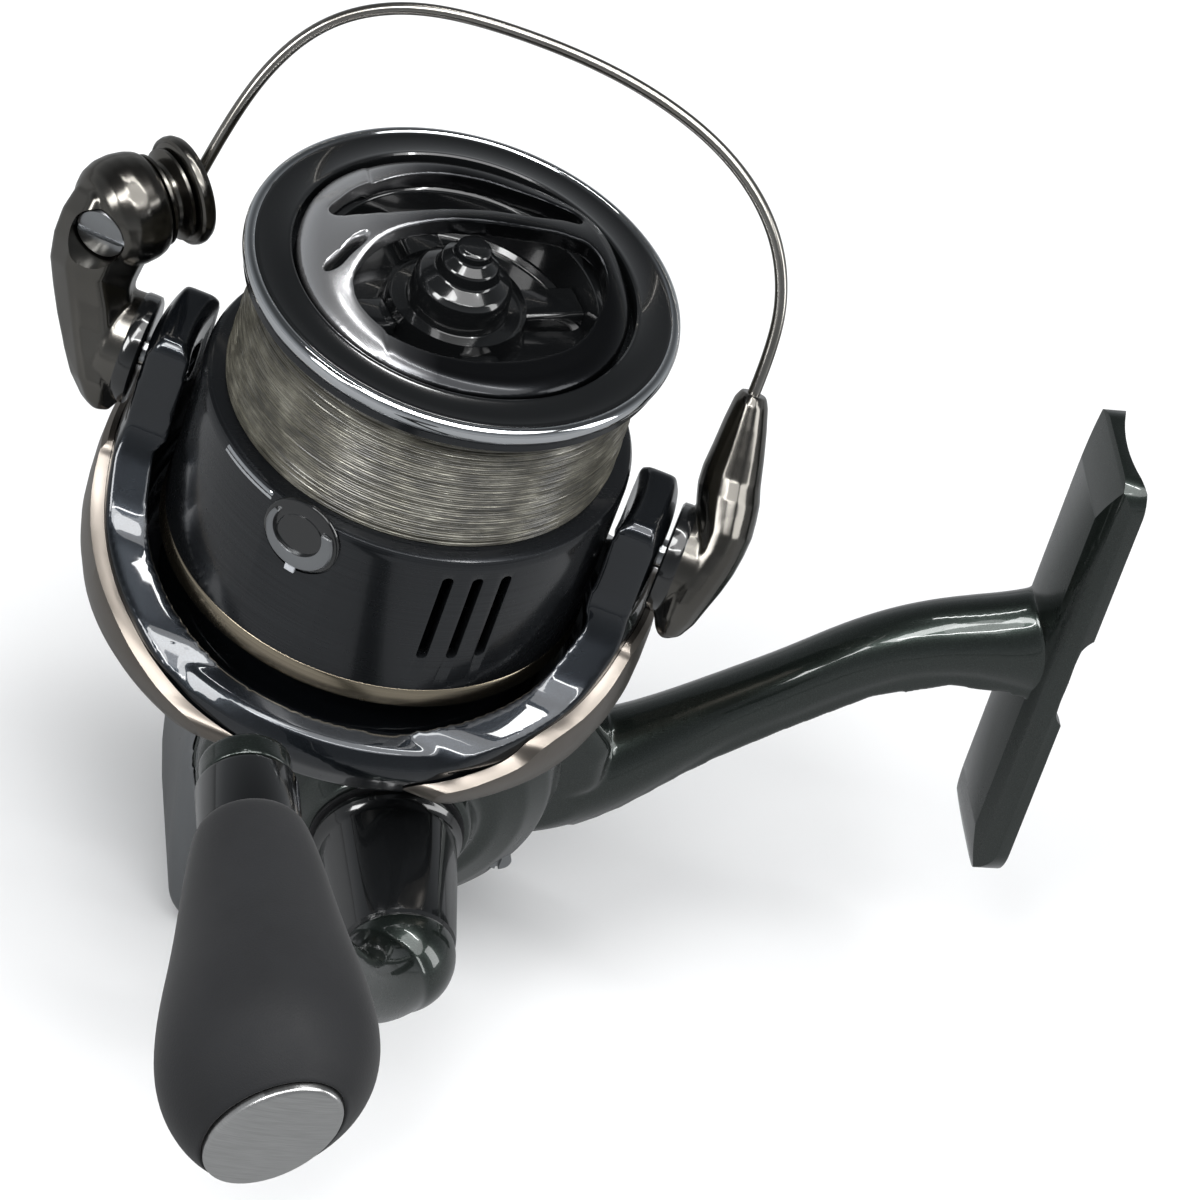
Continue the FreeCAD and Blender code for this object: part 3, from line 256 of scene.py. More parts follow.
nylon, tree, shader, place = material("nylon_line", Metallic=0.0, Roughness=0.24, IOR=1.53, Coat_Weight=0.6,
    Coat_Roughness=0.14)
wrapped = around_shaft(tree, place, at(0, 0, 0))
streak = noise(tree, stretched(tree, wrapped, (7.0, 4200.0, 0.0)), 1.0, 4.0, 0.7)
patch = noise(tree, stretched(tree, wrapped, (4.5, 300.0, 0.0)), 1.0, 3.0, 0.55)
# Streaks and patches mixed for the colour: the pale streaks are painted glints, the rest is a real drift in the
# line's tone.
tone_and_painted_glints = math_node(tree, "ADD", math_node(tree, "MULTIPLY", streak, 0.62),
    math_node(tree, "MULTIPLY", patch, 0.38))
tree.links.new(colours(tree, tone_and_painted_glints, [(0.34, (0.016, 0.015, 0.011)), (0.46, (0.06, 0.056, 0.042)),
    (0.56, (0.16, 0.152, 0.12)), (0.7, (0.42, 0.41, 0.35))]), shader.inputs["Base Color"])
tree.links.new(spread(tree, streak, 0.35, 0.7, 0.5, 0.16), shader.inputs["Roughness"])
tree.links.new(spread(tree, streak, 0.4, 0.65, 0.0, 0.45), shader.inputs["Metallic"])
bump(tree, shader, streak, 0.00004, 0.6)
dress(winding, nylon, "spool", "line", "line_winding")


# ---- Spool body --------------------------------------------------------------------------------
# Forged aluminium cup with a front flange, a drum for the line and a long skirt over the rotor.
# The skirt is anodised dark, with three groups of slots milled through it to save weight.


def shader_group(name, inputs, outputs):
    group = bpy.data.node_groups.new(name, "ShaderNodeTree")
    for label, kind, value in inputs:
        socket = group.interface.new_socket(name=label, in_out="INPUT", socket_type="NodeSocket" + kind)
        if value is not None:
            socket.default_value = value
    for label, kind in outputs:
        group.interface.new_socket(name=label, in_out="OUTPUT", socket_type="NodeSocket" + kind)
    return group, group.nodes.new("NodeGroupInput"), group.nodes.new("NodeGroupOutput")


def tint(tree, shader, mask, dark, light):
    """Base colour that drifts between two tones."""
    tree.links.new(colours(tree, mask, [(0.3, dark), (0.7, light)]), shader.inputs["Base Color"])


handling, given, result = shader_group(
    "handling_marks", [("Vector", "Vector", None), ("Roughness", "Float", 0.2), ("Spread", "Float", 0.1)],
    [("Roughness", "Float"), ("Height", "Float")])
smudge = noise(handling, given.outputs["Vector"], 90.0, 4.0, 0.6)
scratch = noise(handling, stretched(handling, given.outputs["Vector"], (300, 2600, 900),
    rotation=(0.5, 0.3, 0.8)), 1.0, 2.0, 0.6)
marks = math_node(handling, "ADD", math_node(handling, "MULTIPLY", smudge, 0.7),
    math_node(handling, "MULTIPLY", scratch, 0.3))
centred = math_node(handling, "SUBTRACT", marks, 0.5)
swing = math_node(handling, "MULTIPLY", centred, given.outputs["Spread"])
handling.links.new(math_node(handling, "ADD", given.outputs["Roughness"], swing), result.inputs["Roughness"])
handling.links.new(scratch, result.inputs["Height"])


def handled(tree, shader, place, roughness, amount, relief=0.0):
    """Smudges and hair scratches from use, in the roughness and a little in the surface."""
    node = tree.nodes.new("ShaderNodeGroup")
    node.node_tree = handling
    node.inputs["Roughness"].default_value = roughness
    node.inputs["Spread"].default_value = amount
    tree.links.new(place, node.inputs["Vector"])
    tree.links.new(node.outputs["Roughness"], shader.inputs["Roughness"])
    if relief:
        bump(tree, shader, node.outputs["Height"], relief)


def cut_out(piece, cutters):
    for cutter in cutters:
        modify(piece, "BOOLEAN", operation="DIFFERENCE", object=cutter, solver="EXACT")
        bpy.data.objects.remove(cutter)


def block(name, size, place_matrix):
    """A plain box of the given size in millimetres, centred on its place."""
    deselect()
    bpy.ops.mesh.primitive_cube_add(size=1)
    piece = bpy.context.object
    piece.name = name
    piece.matrix_world = place_matrix @ Matrix.Diagonal((*(Vector(size) * MM), 1))
    settle(piece)
    return piece


def round_corners(piece, wanted, width, segments):
    """Bevels the edges whose two ends pass the test, to a width in millimetres."""
    only(piece)
    bpy.ops.object.mode_set(mode="EDIT")
    bpy.ops.mesh.select_mode(type="EDGE")
    bpy.ops.mesh.select_all(action="DESELECT")
    bpy.ops.object.mode_set(mode="OBJECT")
    for edge in piece.data.edges:
        edge.select = wanted(*(piece.data.vertices[index].co for index in edge.vertices))
    bpy.ops.object.mode_set(mode="EDIT")
    bpy.ops.mesh.bevel(offset=width * MM, segments=segments, affect="EDGES")
    bpy.ops.mesh.select_mode(type="VERT")
    bpy.ops.object.mode_set(mode="OBJECT")


def slot_cutter(width, length, deep, place_matrix):
    """A round-ended bar along its own Z, set across a wall along its own X."""
    cutter = block("slot", (deep, width, length), Matrix())
    round_corners(cutter, lambda one, other: abs(one.x - other.x) > deep * MM * 0.9, width * 0.499, 8)
    cutter.matrix_world = place_matrix
    settle(cutter)
    return cutter


def facing(degrees, radius, height):
    """Place at an angle about the shaft, with X outwards."""
    angle = math.radians(degrees)
    spot = at(radius * math.cos(angle), radius * math.sin(angle), height)
    return Matrix.Translation(spot) @ Matrix.Rotation(angle, 4, "Z")


skirt = turn("spool_cup", [(14.3, -12.5), (14.3, -2.2), (17.3, -2.2), (17.3, -1.3), (21.0, -1.3),
    (21.45, -1.6), (21.5, -2.3), (21.0, -3.0), (15.6, -3.0), (15.6, -17.0), (21.2, -17.0), (21.75, -17.25),
    (22.05, -17.8), (22.1, -18.4), (22.1, -35.2), (20.9, -35.2), (20.9, -18.4), (14.3, -18.4)], at(0, 0, 0),
    steps=192)
slot_width, slot_length, slot_depth, slot_height = 1.15, 11.4, 6, -24.9
slots = [slot_cutter(slot_width, slot_length, slot_depth, facing(angle + group, 21.5, slot_height))
         for group in (0, 130, 200) for angle in (-86, -78, -70)]
cut_out(skirt, slots)
clip_turn = math.radians(-125.5)
clip_level = at(0, 0, -19.9)
clip_out = Vector((math.cos(clip_turn), math.sin(clip_turn), 0))
clip_floor = 21.72
seat = turn("clip_seat", [(0, clip_floor), (4.4, clip_floor), (4.4, 24), (0, 24)], clip_level, clip_out,
    steps=64)
cut_out(skirt, [seat])
round_edges(skirt, 0.12)
shade(skirt)

anodised, tree, shader, place = material("anodised_skirt", Metallic=0.75, Roughness=0.3,
    Base_Color=(0.022, 0.024, 0.027), Coat_Weight=0.6, Coat_Roughness=0.12)
wrapped = around_shaft(tree, place, at(0, 0, 0))
lathe_lines = noise(tree, stretched(tree, wrapped, (0.6, 9000.0, 0.0)), 1.0, 2.0)
tint(tree, shader, lathe_lines, (0.013, 0.0145, 0.017), (0.03, 0.033, 0.037))
handled(tree, shader, place, 0.27, 0.16, 0.000002)
dress(skirt, anodised, "spool", "spool_gloss", "spool_body")


# ---- Spool lip ---------------------------------------------------------------------------------
# Hard chromed ring that the line runs off. It is polished all over and rounded at its front, so
# that nothing can catch on it.

lip = turn("lip_ring", [(20.3, -1.3), (21.3, -1.3), (21.75, -1.12), (21.97, -0.7), (22.0, -0.25),
    (21.88, 0.15), (21.62, 0.42), (21.3, 0.5), (21.0, 0.4), (20.8, 0.15), (20.3, 0.0)], at(0, 0, 0), steps=224)
shade(lip, 80)
chrome, tree, shader, place = material("polished_chrome", Metallic=1.0, Base_Color=(0.72, 0.74, 0.76))
handled(tree, shader, place, 0.07, 0.07)
dress(lip, chrome, "spool", "bright_chrome", "spool_lip")


# ---- Front ring --------------------------------------------------------------------------------
# Moulded ring in gloss black, pressed in between the lip and the drag knob. It has a fine bead
# at its outer edge and a low step at its inner edge.

annulus = turn("nose_ring", [(17.3, -1.3), (20.25, -1.3), (20.3, 0.05), (20.85, 0.22), (20.9, 0.36),
    (20.7, 0.44), (20.45, 0.4), (18.2, 0.42), (17.85, 0.62), (17.55, 0.66), (17.36, 0.55), (17.3, 0.3)],
    at(0, 0, 0), steps=192)
shade(annulus, 50)
black, tree, shader, place = material("gloss_black", Metallic=0.0, Base_Color=(0.006, 0.0065, 0.007),
    Coat_Weight=1.0, Coat_Roughness=0.03, Roughness=0.2)
handled(tree, shader, place, 0.16, 0.1)
dress(annulus, black, "spool", "black_gloss", "front_ring")


# ---- Skirt band --------------------------------------------------------------------------------
# Thin aluminium ring, anodised in a champagne colour and shrunk onto the skirt's end. Its fine
# turning lines stay visible.

band = turn("band_ring", [(20.95, -37.7), (22.05, -37.7), (22.25, -37.45), (22.25, -35.5), (22.1, -35.2),
    (20.95, -35.2)], at(0, 0, 0), steps=192, rim=0.06)
champagne, tree, shader, place = material("champagne_band", Metallic=1.0, Base_Color=(0.42, 0.36, 0.27))
wrapped = around_shaft(tree, place, at(0, 0, 0))
lathe_lines = noise(tree, stretched(tree, wrapped, (0.6, 12000.0, 0.0)), 1.0, 2.0)
tint(tree, shader, lathe_lines, (0.30, 0.255, 0.19), (0.47, 0.41, 0.31))
handled(tree, shader, place, 0.26, 0.12)
dress(band, champagne, "spool", "band_champagne", "skirt_band")


# ---- Line clip ---------------------------------------------------------------------------------
# Sprung button that holds the line's end on the skirt: a black disc with a bright crescent rim
# and a small pearl tab. A bright strip is let into the skirt's shoulder beside it.

clip_up = clip_out.cross(UP.cross(clip_out)).normalized()
clip_side = clip_up.cross(clip_out)
clip = turn("clip_disc", [(0, 22.3), (2.5, 22.3), (2.62, 22.22), (2.75, 22.22), (3.9, 22.22), (4.12, 22.1),
    (4.2, 21.95), (4.2, 21.78), (0, 21.78)], clip_level, clip_out, steps=72)
shade(clip, 30)
dress(clip, black, "clip", "black_gloss", "line_clip")
horseshoe = turn("clip_horseshoe", [(1.5, 22.2), (3.72, 22.2), (3.78, 22.28), (3.78, 22.48), (3.6, 22.62),
    (1.5, 22.62)], clip_level, clip_out, steps=96)
off_centre = (clip_up * 0.62 - clip_side * 0.3) * MM
inner = turn("clip_inner", [(0, 21), (2.75, 21), (2.75, 24), (0, 24)], clip_level + off_centre, clip_out,
    steps=72)


def on_clip(out, up):
    """Place on the clip's face, in millimetres out from the shaft and up from the clip's middle."""
    spot = clip_level + (clip_out * out + clip_up * up) * MM
    return Matrix.Translation(spot) @ Matrix.Rotation(clip_turn, 4, "Z")


gate = block("gate", (20, 20, 3.4), on_clip(22, 3.6))
cut_out(horseshoe, [inner, gate])
round_edges(horseshoe, 0.08)
shade(horseshoe, 40)
satin, tree, shader, place = material("satin_silver", Metallic=1.0, Base_Color=(0.33, 0.34, 0.35))
handled(tree, shader, place, 0.3, 0.14)
dress(horseshoe, satin, "clip", "bright_chrome")
tab = block("clip_tab", (0.5, 1.15, 1.0), on_clip(22.2, -4.15))
modify(tab, "BEVEL", width=0.12 * MM, segments=3, limit_method="NONE")
shade(tab)
pearl, tree, shader, place = material("pearl_tab", Metallic=0.0, Coat_Weight=0.5, Coat_Roughness=0.1)
tint(tree, shader, noise(tree, place, 900.0, 2.0), (0.66, 0.68, 0.72), (0.8, 0.82, 0.86))
handled(tree, shader, place, 0.3, 0.1)
dress(tab, pearl, "clip", "bright_chrome")


def sliced(piece, point, out):
    """Takes off what lies beyond a plane, and closes the cut."""
    only(piece)
    bpy.ops.object.mode_set(mode="EDIT")
    bpy.ops.mesh.select_all(action="SELECT")
    bpy.ops.mesh.bisect(plane_co=point, plane_no=out, clear_outer=True, use_fill=True)
    bpy.ops.object.mode_set(mode="OBJECT")


strip = turn("shoulder_strip", [(21.6, -17.32), (21.72, -17.3), (22.0, -17.62), (22.12, -18.2), (22.0, -18.3)],
             at(0, 0, 0), steps=240)
for side, degrees in ((1, -156.0), (-1, -136.5)):
    heading = math.radians(degrees)
    sliced(strip, at(0, 0, 0), (side * math.sin(heading), -side * math.cos(heading), 0))
round_edges(strip, 0.06)
shade(strip, 40)
dress(strip, chrome, "spool", "bright_chrome")


# ---- Drag knob ---------------------------------------------------------------------------------
# Machined knob in the spool's nose: a rim, a hub on the shaft's end and one arched bar between
# them for the fingers. It is anodised near black, with a painted highlight on its upper faces that rises
# towards where the bar meets the rim.


def melted(piece, grain, rounds):
    """Remeshes a piece in small cells, in millimetres, and smooths it, so its edges are rounded as cast."""
    modify(piece, "REMESH", mode="VOXEL", voxel_size=grain * MM)
    modify(piece, "SMOOTH", factor=0.5, iterations=rounds)


def softened(node, name, grain, rounds, keep=1.0, added=()):
    """A melted copy of a CAD piece, with added solids joined in, thinned to a share of its faces."""
    deselect()
    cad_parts[node].select_set(True)
    bpy.context.view_layer.objects.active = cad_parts[node]
    bpy.ops.object.duplicate()
    piece = bpy.context.object
    piece.name = name
    bpy.ops.object.mode_set(mode="EDIT")
    bpy.ops.mesh.select_all(action="SELECT")
    bpy.ops.mesh.remove_doubles(threshold=1e-6)
    bpy.ops.object.mode_set(mode="OBJECT")
    for extra in added:
        extra.select_set(True)
    bpy.context.view_layer.objects.active = piece
    if added:
        bpy.ops.object.join()
    melted(piece, grain, rounds)
    if keep < 1:
        modify(piece, "DECIMATE", ratio=keep)
    settle(piece)
    bpy.ops.object.shade_smooth()
    return piece


def outline_prism(name, points, low, high, place_matrix):
    """A block with a smooth closed outline, given in millimetres in the plane of the place's X and Y."""
    deselect()
    bpy.ops.curve.primitive_bezier_circle_add()
    curve = bpy.context.object
    curve.name = name
    spline = curve.data.splines[0]
    spline.bezier_points.add(len(points) - len(spline.bezier_points))
    for knot, (x, y) in zip(spline.bezier_points, points):
        knot.co = (x * MM, y * MM, (low + high) / 2 * MM)
        knot.handle_left_type = knot.handle_right_type = "AUTO"
    spline.resolution_u = 10
    curve.data.dimensions = "2D"
    curve.data.fill_mode = "BOTH"
    curve.data.extrude = (high - low) / 2 * MM
    curve.location = (0, 0, (low + high) / 2 * MM)
    only(curve)
    bpy.ops.object.convert(target="MESH")
    piece = bpy.context.object
    bpy.ops.object.mode_set(mode="EDIT")
    bpy.ops.mesh.select_all(action="SELECT")
    bpy.ops.mesh.remove_doubles(threshold=1e-6)
    bpy.ops.mesh.normals_make_consistent(inside=False)
    bpy.ops.object.mode_set(mode="OBJECT")
    bpy.ops.object.transform_apply(location=True, rotation=True, scale=True)
    piece.matrix_world = place_matrix
    settle(piece)
    return piece


spool_place = Matrix.Translation(at(0, 0, 0))
dial = turn("drag_dial", [(0, 0), (16.75, 0), (16.75, -2.1), (0, -2.1)], at(0, 0, 0), steps=160)
eye = outline_prism("eye", [(-12.0, -5.6), (-11.1, -2.4), (-8.7, -0.1), (-5.3, 1.0), (-1.9, 1.5), (1.2, 1.7),
    (5.4, 2.4), (9.5, 3.5), (12.9, 3.6), (14.1, 0.6), (13.0, -3.6), (10.5, -7.9), (7.2, -10.4), (2.3, -12.2),
    (-2.0, -12.6), (-6.6, -11.6), (-10.3, -9.2)], -6, 6, spool_place)
crescent = outline_prism("crescent", [(-13.6, 4.4), (-11.0, 3.4), (-7.6, 3.3), (-3.6, 3.6), (0.8, 4.0),
    (5.4, 4.5), (9.3, 6.0), (12.0, 7.5), (9.8, 10.4), (6.2, 12.6), (1.6, 14.0), (-4.5, 13.3), (-9.3, 10.3),
    (-12.2, 7.2)], -6, 6, spool_place)
cut_out(dial, [eye, crescent])
modify(dial, "REMESH", mode="VOXEL", voxel_size=0.2 * MM)
plate_lift = 0.95
arch_height, arch_reach = 5.3, 17.2
rim_start, rim_width, rim_drop = 14.6, 2.15, 0.75
for vertex in dial.data.vertices:
    x, y = ((vertex.co - at(0, 0, 0)) / MM).xy
    bar_line = 1.7 + 0.16 * x + 0.008 * x * x
    bar_spread = 6.5 if x > -9 else 8.0
    arch = max(0.0, 1 - (x / arch_reach) ** 2) ** 1.15 * arch_height
    roll = max(0.0, math.hypot(x, y) - rim_start) / rim_width
    near_bar = math.exp(-((y - bar_line) / bar_spread) ** 2)
    vertex.co.z += (plate_lift + arch * near_bar - rim_drop * roll ** 2.4) * MM
modify(dial, "SMOOTH", factor=0.5, iterations=7)
settle(dial)
slot = outline_prism("dial_slot", [(-2.9, 0), (-2.4, 0.55), (0, 0.7), (2.4, 0.55), (2.9, 0), (2.4, -0.55),
    (0, -0.7), (-2.4, -0.55)], -6, 6, Matrix.Translation(at(-12.6, -1.6, 0))
    @ Matrix.Rotation(math.radians(46), 4, "Z"))
cut_out(dial, [slot])
only(dial)
bpy.ops.object.shade_smooth()
dark_dial, tree, shader, place = material("dial_anodised", Metallic=0.9, Roughness=0.24, Coat_Weight=0.3,
    Coat_Roughness=0.1)
# Pale silver painted onto the upper faces, fading in along the bar towards its end at the rim: a painted
# highlight.
parts = tree.nodes.new("ShaderNodeSeparateXYZ")
tree.links.new(stretched(tree, place, (1, 1, 1), location=tuple(-at(0, 0, 0))), parts.inputs[0])
bar_heading = math.radians(8)
along_bar = math_node(tree, "ADD", math_node(tree, "MULTIPLY", parts.outputs[0], -math.cos(bar_heading)),
                      math_node(tree, "MULTIPLY", parts.outputs[1], math.sin(bar_heading)))
painted_highlight_fade = spread(tree, along_bar, 0.002, 0.0115)
above = spread(tree, parts.outputs[2], -0.0007, 0.0004)
painted_highlight = math_node(tree, "MULTIPLY", painted_highlight_fade, above)
tree.links.new(colours(tree, painted_highlight, [(0.0, (0.014, 0.015, 0.017)), (0.35, (0.1, 0.102, 0.108)),
    (1.0, (0.6, 0.6, 0.61))]), shader.inputs["Base Color"])
handled(tree, shader, place, 0.24, 0.12)
dress(dial, dark_dial, "drag_knob", "knob_dark", "drag_knob")
well = turn("dial_well", [(0, 4.3), (1.3, 4.35), (1.75, 4.1), (1.9, 3.2), (2.9, 2.5), (3.2, 1.2), (4.5, 0.5),
    (4.9, -0.1), (5.1, -3.0), (6.6, -3.2), (7.0, -2.4), (7.05, -5.2), (7.5, -5.7), (12.9, -6.0), (13.5, -5.4),
    (13.8, -1.1), (14.4, -0.75), (16.5, -0.75), (16.5, -1.9), (13.9, -1.95), (13.9, -6.7), (0, -6.7)],
    at(0, 0, 0), steps=144)
round_edges(well, 0.14, 2, 28)
shade(well, 35)
dress(well, black, "drag_knob", "knob_dark")
for number in range(4):
    rib = block("dial_rib_" + str(number + 1), (6.9, 4.2, 2.6), facing(15 + 90 * number, 10.2, -5.0))
    modify(rib, "BEVEL", width=0.5 * MM, segments=3, limit_method="NONE")
    shade(rib)
    dress(rib, black, "drag_knob", "knob_dark")


# ---- Rotor -------------------------------------------------------------------------------------
# Die-cast cup that turns round the spool, with two arms that carry the bail. Blue-black gloss
# enamel over the metal, with a fine flake in it.

flaked, given, result = shader_group("enamel_flake",
    [("Vector", "Vector", None), ("Dark", "Color", (0.01, 0.012, 0.013, 1)),
    ("Light", "Color", (0.03, 0.035, 0.036, 1))], [("Color", "Color"), ("Height", "Float")])
cells = flaked.nodes.new("ShaderNodeTexVoronoi")
cells.inputs["Scale"].default_value = 9000
flaked.links.new(given.outputs["Vector"], cells.inputs["Vector"])
drift = noise(flaked, given.outputs["Vector"], 60.0, 3.0)
sparkle = math_node(flaked, "ADD", math_node(flaked, "MULTIPLY", cells.outputs["Distance"], 0.8),
    math_node(flaked, "MULTIPLY", drift, 0.3))
blend = flaked.nodes.new("ShaderNodeMix")
blend.data_type = "RGBA"
flaked.links.new(sparkle, blend.inputs["Factor"])
flaked.links.new(given.outputs["Dark"], blend.inputs[6])
flaked.links.new(given.outputs["Light"], blend.inputs[7])
flaked.links.new(blend.outputs[2], result.inputs["Color"])
flaked.links.new(cells.outputs["Distance"], result.inputs["Height"])


def enamel(name, dark, light, roughness):
    made, tree, shader, place = material(name, Metallic=0.8, Coat_Weight=1.0, Coat_Roughness=0.025,
        Coat_IOR=1.55)
    node = tree.nodes.new("ShaderNodeGroup")
    node.node_tree = flaked
    node.inputs["Dark"].default_value = (*dark, 1)
    node.inputs["Light"].default_value = (*light, 1)
    tree.links.new(place, node.inputs["Vector"])
    tree.links.new(node.outputs["Color"], shader.inputs["Base Color"])
    handled(tree, shader, place, roughness, 0.1)
    return made


rotor_enamel = enamel("rotor_enamel", (0.005, 0.0062, 0.008), (0.022, 0.027, 0.034), 0.26)
cup = softened("rotor", "rotor_cup", 0.27, 16, 0.33)
dress(cup, rotor_enamel, "rotor", "rotor_gloss", "rotor")


# ---- Arm covers --------------------------------------------------------------------------------
# Pressed shells in a warm grey plating, one on the outside of each rotor arm. Each is cut to a
# curved outline that runs from the arm's foot down and round under the rotor's rim.

warm_plate, tree, shader, place = material("warm_plate", Metallic=1.0, Base_Color=(0.3, 0.27, 0.235))
cloud = noise(tree, place, 70.0, 3.0)
tint(tree, shader, cloud, (0.19, 0.168, 0.145), (0.25, 0.225, 0.2))
handled(tree, shader, place, 0.33, 0.14)
ROTOR = spool_place @ Matrix.Rotation(math.radians(-21), 4, "Z")
for side, near, facing_out in (("left", 27.8, -1), ("right", 24.4, 1)):
    shell = turn("arm_shell_" + side, [(28.33, -31.7), (28.9, -31.75), (29.45, -32.4), (29.66, -35.0),
        (29.7, -38.0), (29.62, -40.4), (29.3, -42.4), (28.6, -44.9), (27.7, -46.3), (26.7, -47.0),
        (26.5, -46.6), (26.7, -45.5), (27.95, -42.6), (28.33, -40.4)], at(0, 0, 0), steps=240)
    upright = ROTOR @ Matrix(((0, 0, 1, 0), (1, 0, 0, 0), (0, 1, 0, 0), (0, 0, 0, 1)))
    low, high = (5, 40) if facing_out > 0 else (-40, -5)
    pattern = outline_prism("pattern", [(-6.2, -31.9), (-7.2, -32.8), (-9.2, -34.4), (-12.5, -36.3),
        (-17.5, -38.2), (-near + 5.5, -39.9), (-near + 2.2, -41.9), (-near, -43.6), (-near + 1.6, -45.6),
        (-near + 4.0, -46.9), (-near + 8, -47.4), (0, -47.5), (11, -47.4), (15.6, -46.8), (18.2, -45.0),
        (19.4, -43.4), (16.5, -40.2), (12, -36.6), (8.6, -34.0), (6.6, -32.4), (5.6, -31.8), (0, -31.5)], low,
        high, upright)
    modify(shell, "BOOLEAN", operation="INTERSECT", object=pattern, solver="EXACT")
    bpy.data.objects.remove(pattern)
    round_edges(shell, 0.22, 3, 40)
    shade(shell, 40)
    dress(shell, warm_plate, "rotor", "cover_metal", "arm_cover_" + side)


# ---- Bail --------------------------------------------------------------------------------------
# Forged levers on the rotor's arms, a line roller with its housing and support, and the wire
# between them. All are plated in a dark bronze grey and polished.

bronze, tree, shader, place = material("dark_bronze", Metallic=1.0)
cloud = noise(tree, place, 80.0, 3.0)
tint(tree, shader, cloud, (0.125, 0.119, 0.108), (0.175, 0.167, 0.153))
handled(tree, shader, place, 0.2, 0.12)
pivot_height = -24.0
bail_tilt = math.radians(33)
BAIL = ROTOR @ Matrix.Translation((0, 0, pivot_height * MM)) @ Matrix.Rotation(-bail_tilt, 4, "X")


def bail_point(out, across, up):
    """A point of the closed bail, from its axis: along the axis, across it and up the levers."""
    return BAIL @ (Vector((out, across, up)) * MM)


def loft(name, rings, sides, place, turned=0.0):
    """Skin through rings of (x, y, z, half width, half depth), in millimetres, pulled out ring by ring."""
    deselect()
    x, y, z, wide, deep = [value * MM for value in rings[0]]
    bpy.ops.mesh.primitive_circle_add(vertices=sides, radius=1, fill_type="NGON", rotation=(0, 0, turned))
    piece = bpy.context.object
    piece.name = name
    bpy.ops.object.transform_apply(location=False, rotation=True, scale=False)
    piece.scale = (wide, deep, 1)
    piece.location = (x, y, z)
    settle(piece)
    bpy.ops.object.mode_set(mode="EDIT")
    bpy.ops.mesh.select_all(action="SELECT")
    for (x0, y0, z0, wide0, deep0), (x1, y1, z1, wide1, deep1) in zip(rings, rings[1:]):
        step = ((x1 - x0) * MM, (y1 - y0) * MM, (z1 - z0) * MM)
        bpy.ops.mesh.extrude_region_move(TRANSFORM_OT_translate={"value": step})
        bpy.ops.transform.resize(value=(wide1 / wide0, deep1 / deep0, 1),
            center_override=(x1 * MM, y1 * MM, z1 * MM))
    bpy.ops.mesh.select_all(action="SELECT")
    bpy.ops.mesh.normals_make_consistent(inside=False)
    bpy.ops.object.mode_set(mode="OBJECT")
    piece.matrix_world = place
    settle(piece)
    return piece


def welded(name, parts, grain, rounds):
    """Several solids made one, with soft joints between them."""
    deselect()
    for part in parts:
        part.select_set(True)
    bpy.context.view_layer.objects.active = parts[0]
    bpy.ops.object.join()
    piece = bpy.context.object
    piece.name = name
    melted(piece, grain, rounds)
    settle(piece)
    shade(piece, 60)
    return piece


def ranges(rows):
    """Rings given as (height, from, to, depth, half depth)."""
    return [((low + high) / 2, deep, level, (high - low) / 2, half) for level, low, high, deep, half in rows]


OCTAGON = math.radians(22.5)
roller_line = (BAIL.to_3x3() @ Vector((-0.654, -0.539, -0.528))).normalized()
roller_foot = bail_point(-30.0, 0, 16.6)
pivot_line = BAIL.to_3x3() @ Vector((1, 0, 0))
for side, name in ((-1, "left"), (1, "right")):
    outline = [(1.6, 28.02), (5.4, 28.02), (5.7, 28.2), (5.75, 28.7), (5.75, 29.5), (5.6, 29.75), (1.6, 29.75)]
    collar = turn("pivot_collar_" + name, [(radius, side * out) for radius, out in outline], BAIL.translation,
                  pivot_line, steps=72)
    shade(collar, 40)
    dress(collar, black, "bail", "black_gloss")

lever_stem = loft("lever_stem", ranges([(-7.0, -31.4, -29.4, 0, 2.4), (-6.2, -32.6, -28.7, 0, 3.6),
    (-4.4, -34.4, -28.4, 0, 4.8), (-1.8, -36.2, -28.4, 0, 5.4), (0.8, -37.8, -28.6, -0.2, 5.7),
    (3.4, -39.1, -29.6, -0.7, 5.9), (6.0, -40.2, -31.0, -1.4, 6.1), (8.6, -40.6, -30.6, -2.3, 6.2),
    (11.2, -40.5, -30.6, -3.0, 6.1), (13.6, -39.9, -31.4, -3.3, 5.6), (15.6, -39.0, -33.0, -3.1, 4.6),
    (16.8, -37.6, -34.4, -3.0, 2.8)]), 8, BAIL, OCTAGON)
round_edges(lever_stem, 0.9, 3, 30)
dome = turn("lever_dome", [(0, 3.9), (4.9, 3.9), (5.3, 4.3), (5.6, 5.2), (5.75, 6.6), (5.6, 8.0), (5.1, 9.2),
    (4.3, 10.1), (3.3, 10.6), (0, 10.9)], roller_foot, roller_line, steps=72)
boss = turn("lever_boss", [(0, -33.0), (4.2, -33.0), (5.5, -31.6), (5.6, -28.5), (5.3, -28.12), (0, -28.1)],
    BAIL.translation, pivot_line, steps=64)
lever = welded("roller_lever", [lever_stem, dome, boss], 0.17, 9)
dome_reach = 6.9
dome_middle = roller_foot + roller_line * dome_reach * MM
screw_line = (BAIL.to_3x3() @ Vector((-0.205, -0.79, -0.574))).normalized()
recess = turn("screw_recess", [(0, 3.9), (2.85, 3.9), (3.0, 9), (0, 9)], dome_middle, screw_line, steps=64)
cut_out(lever, [recess])
shade(lever, 60)
dress(lever, bronze, "bail", "bail_metal", "bail_lever")

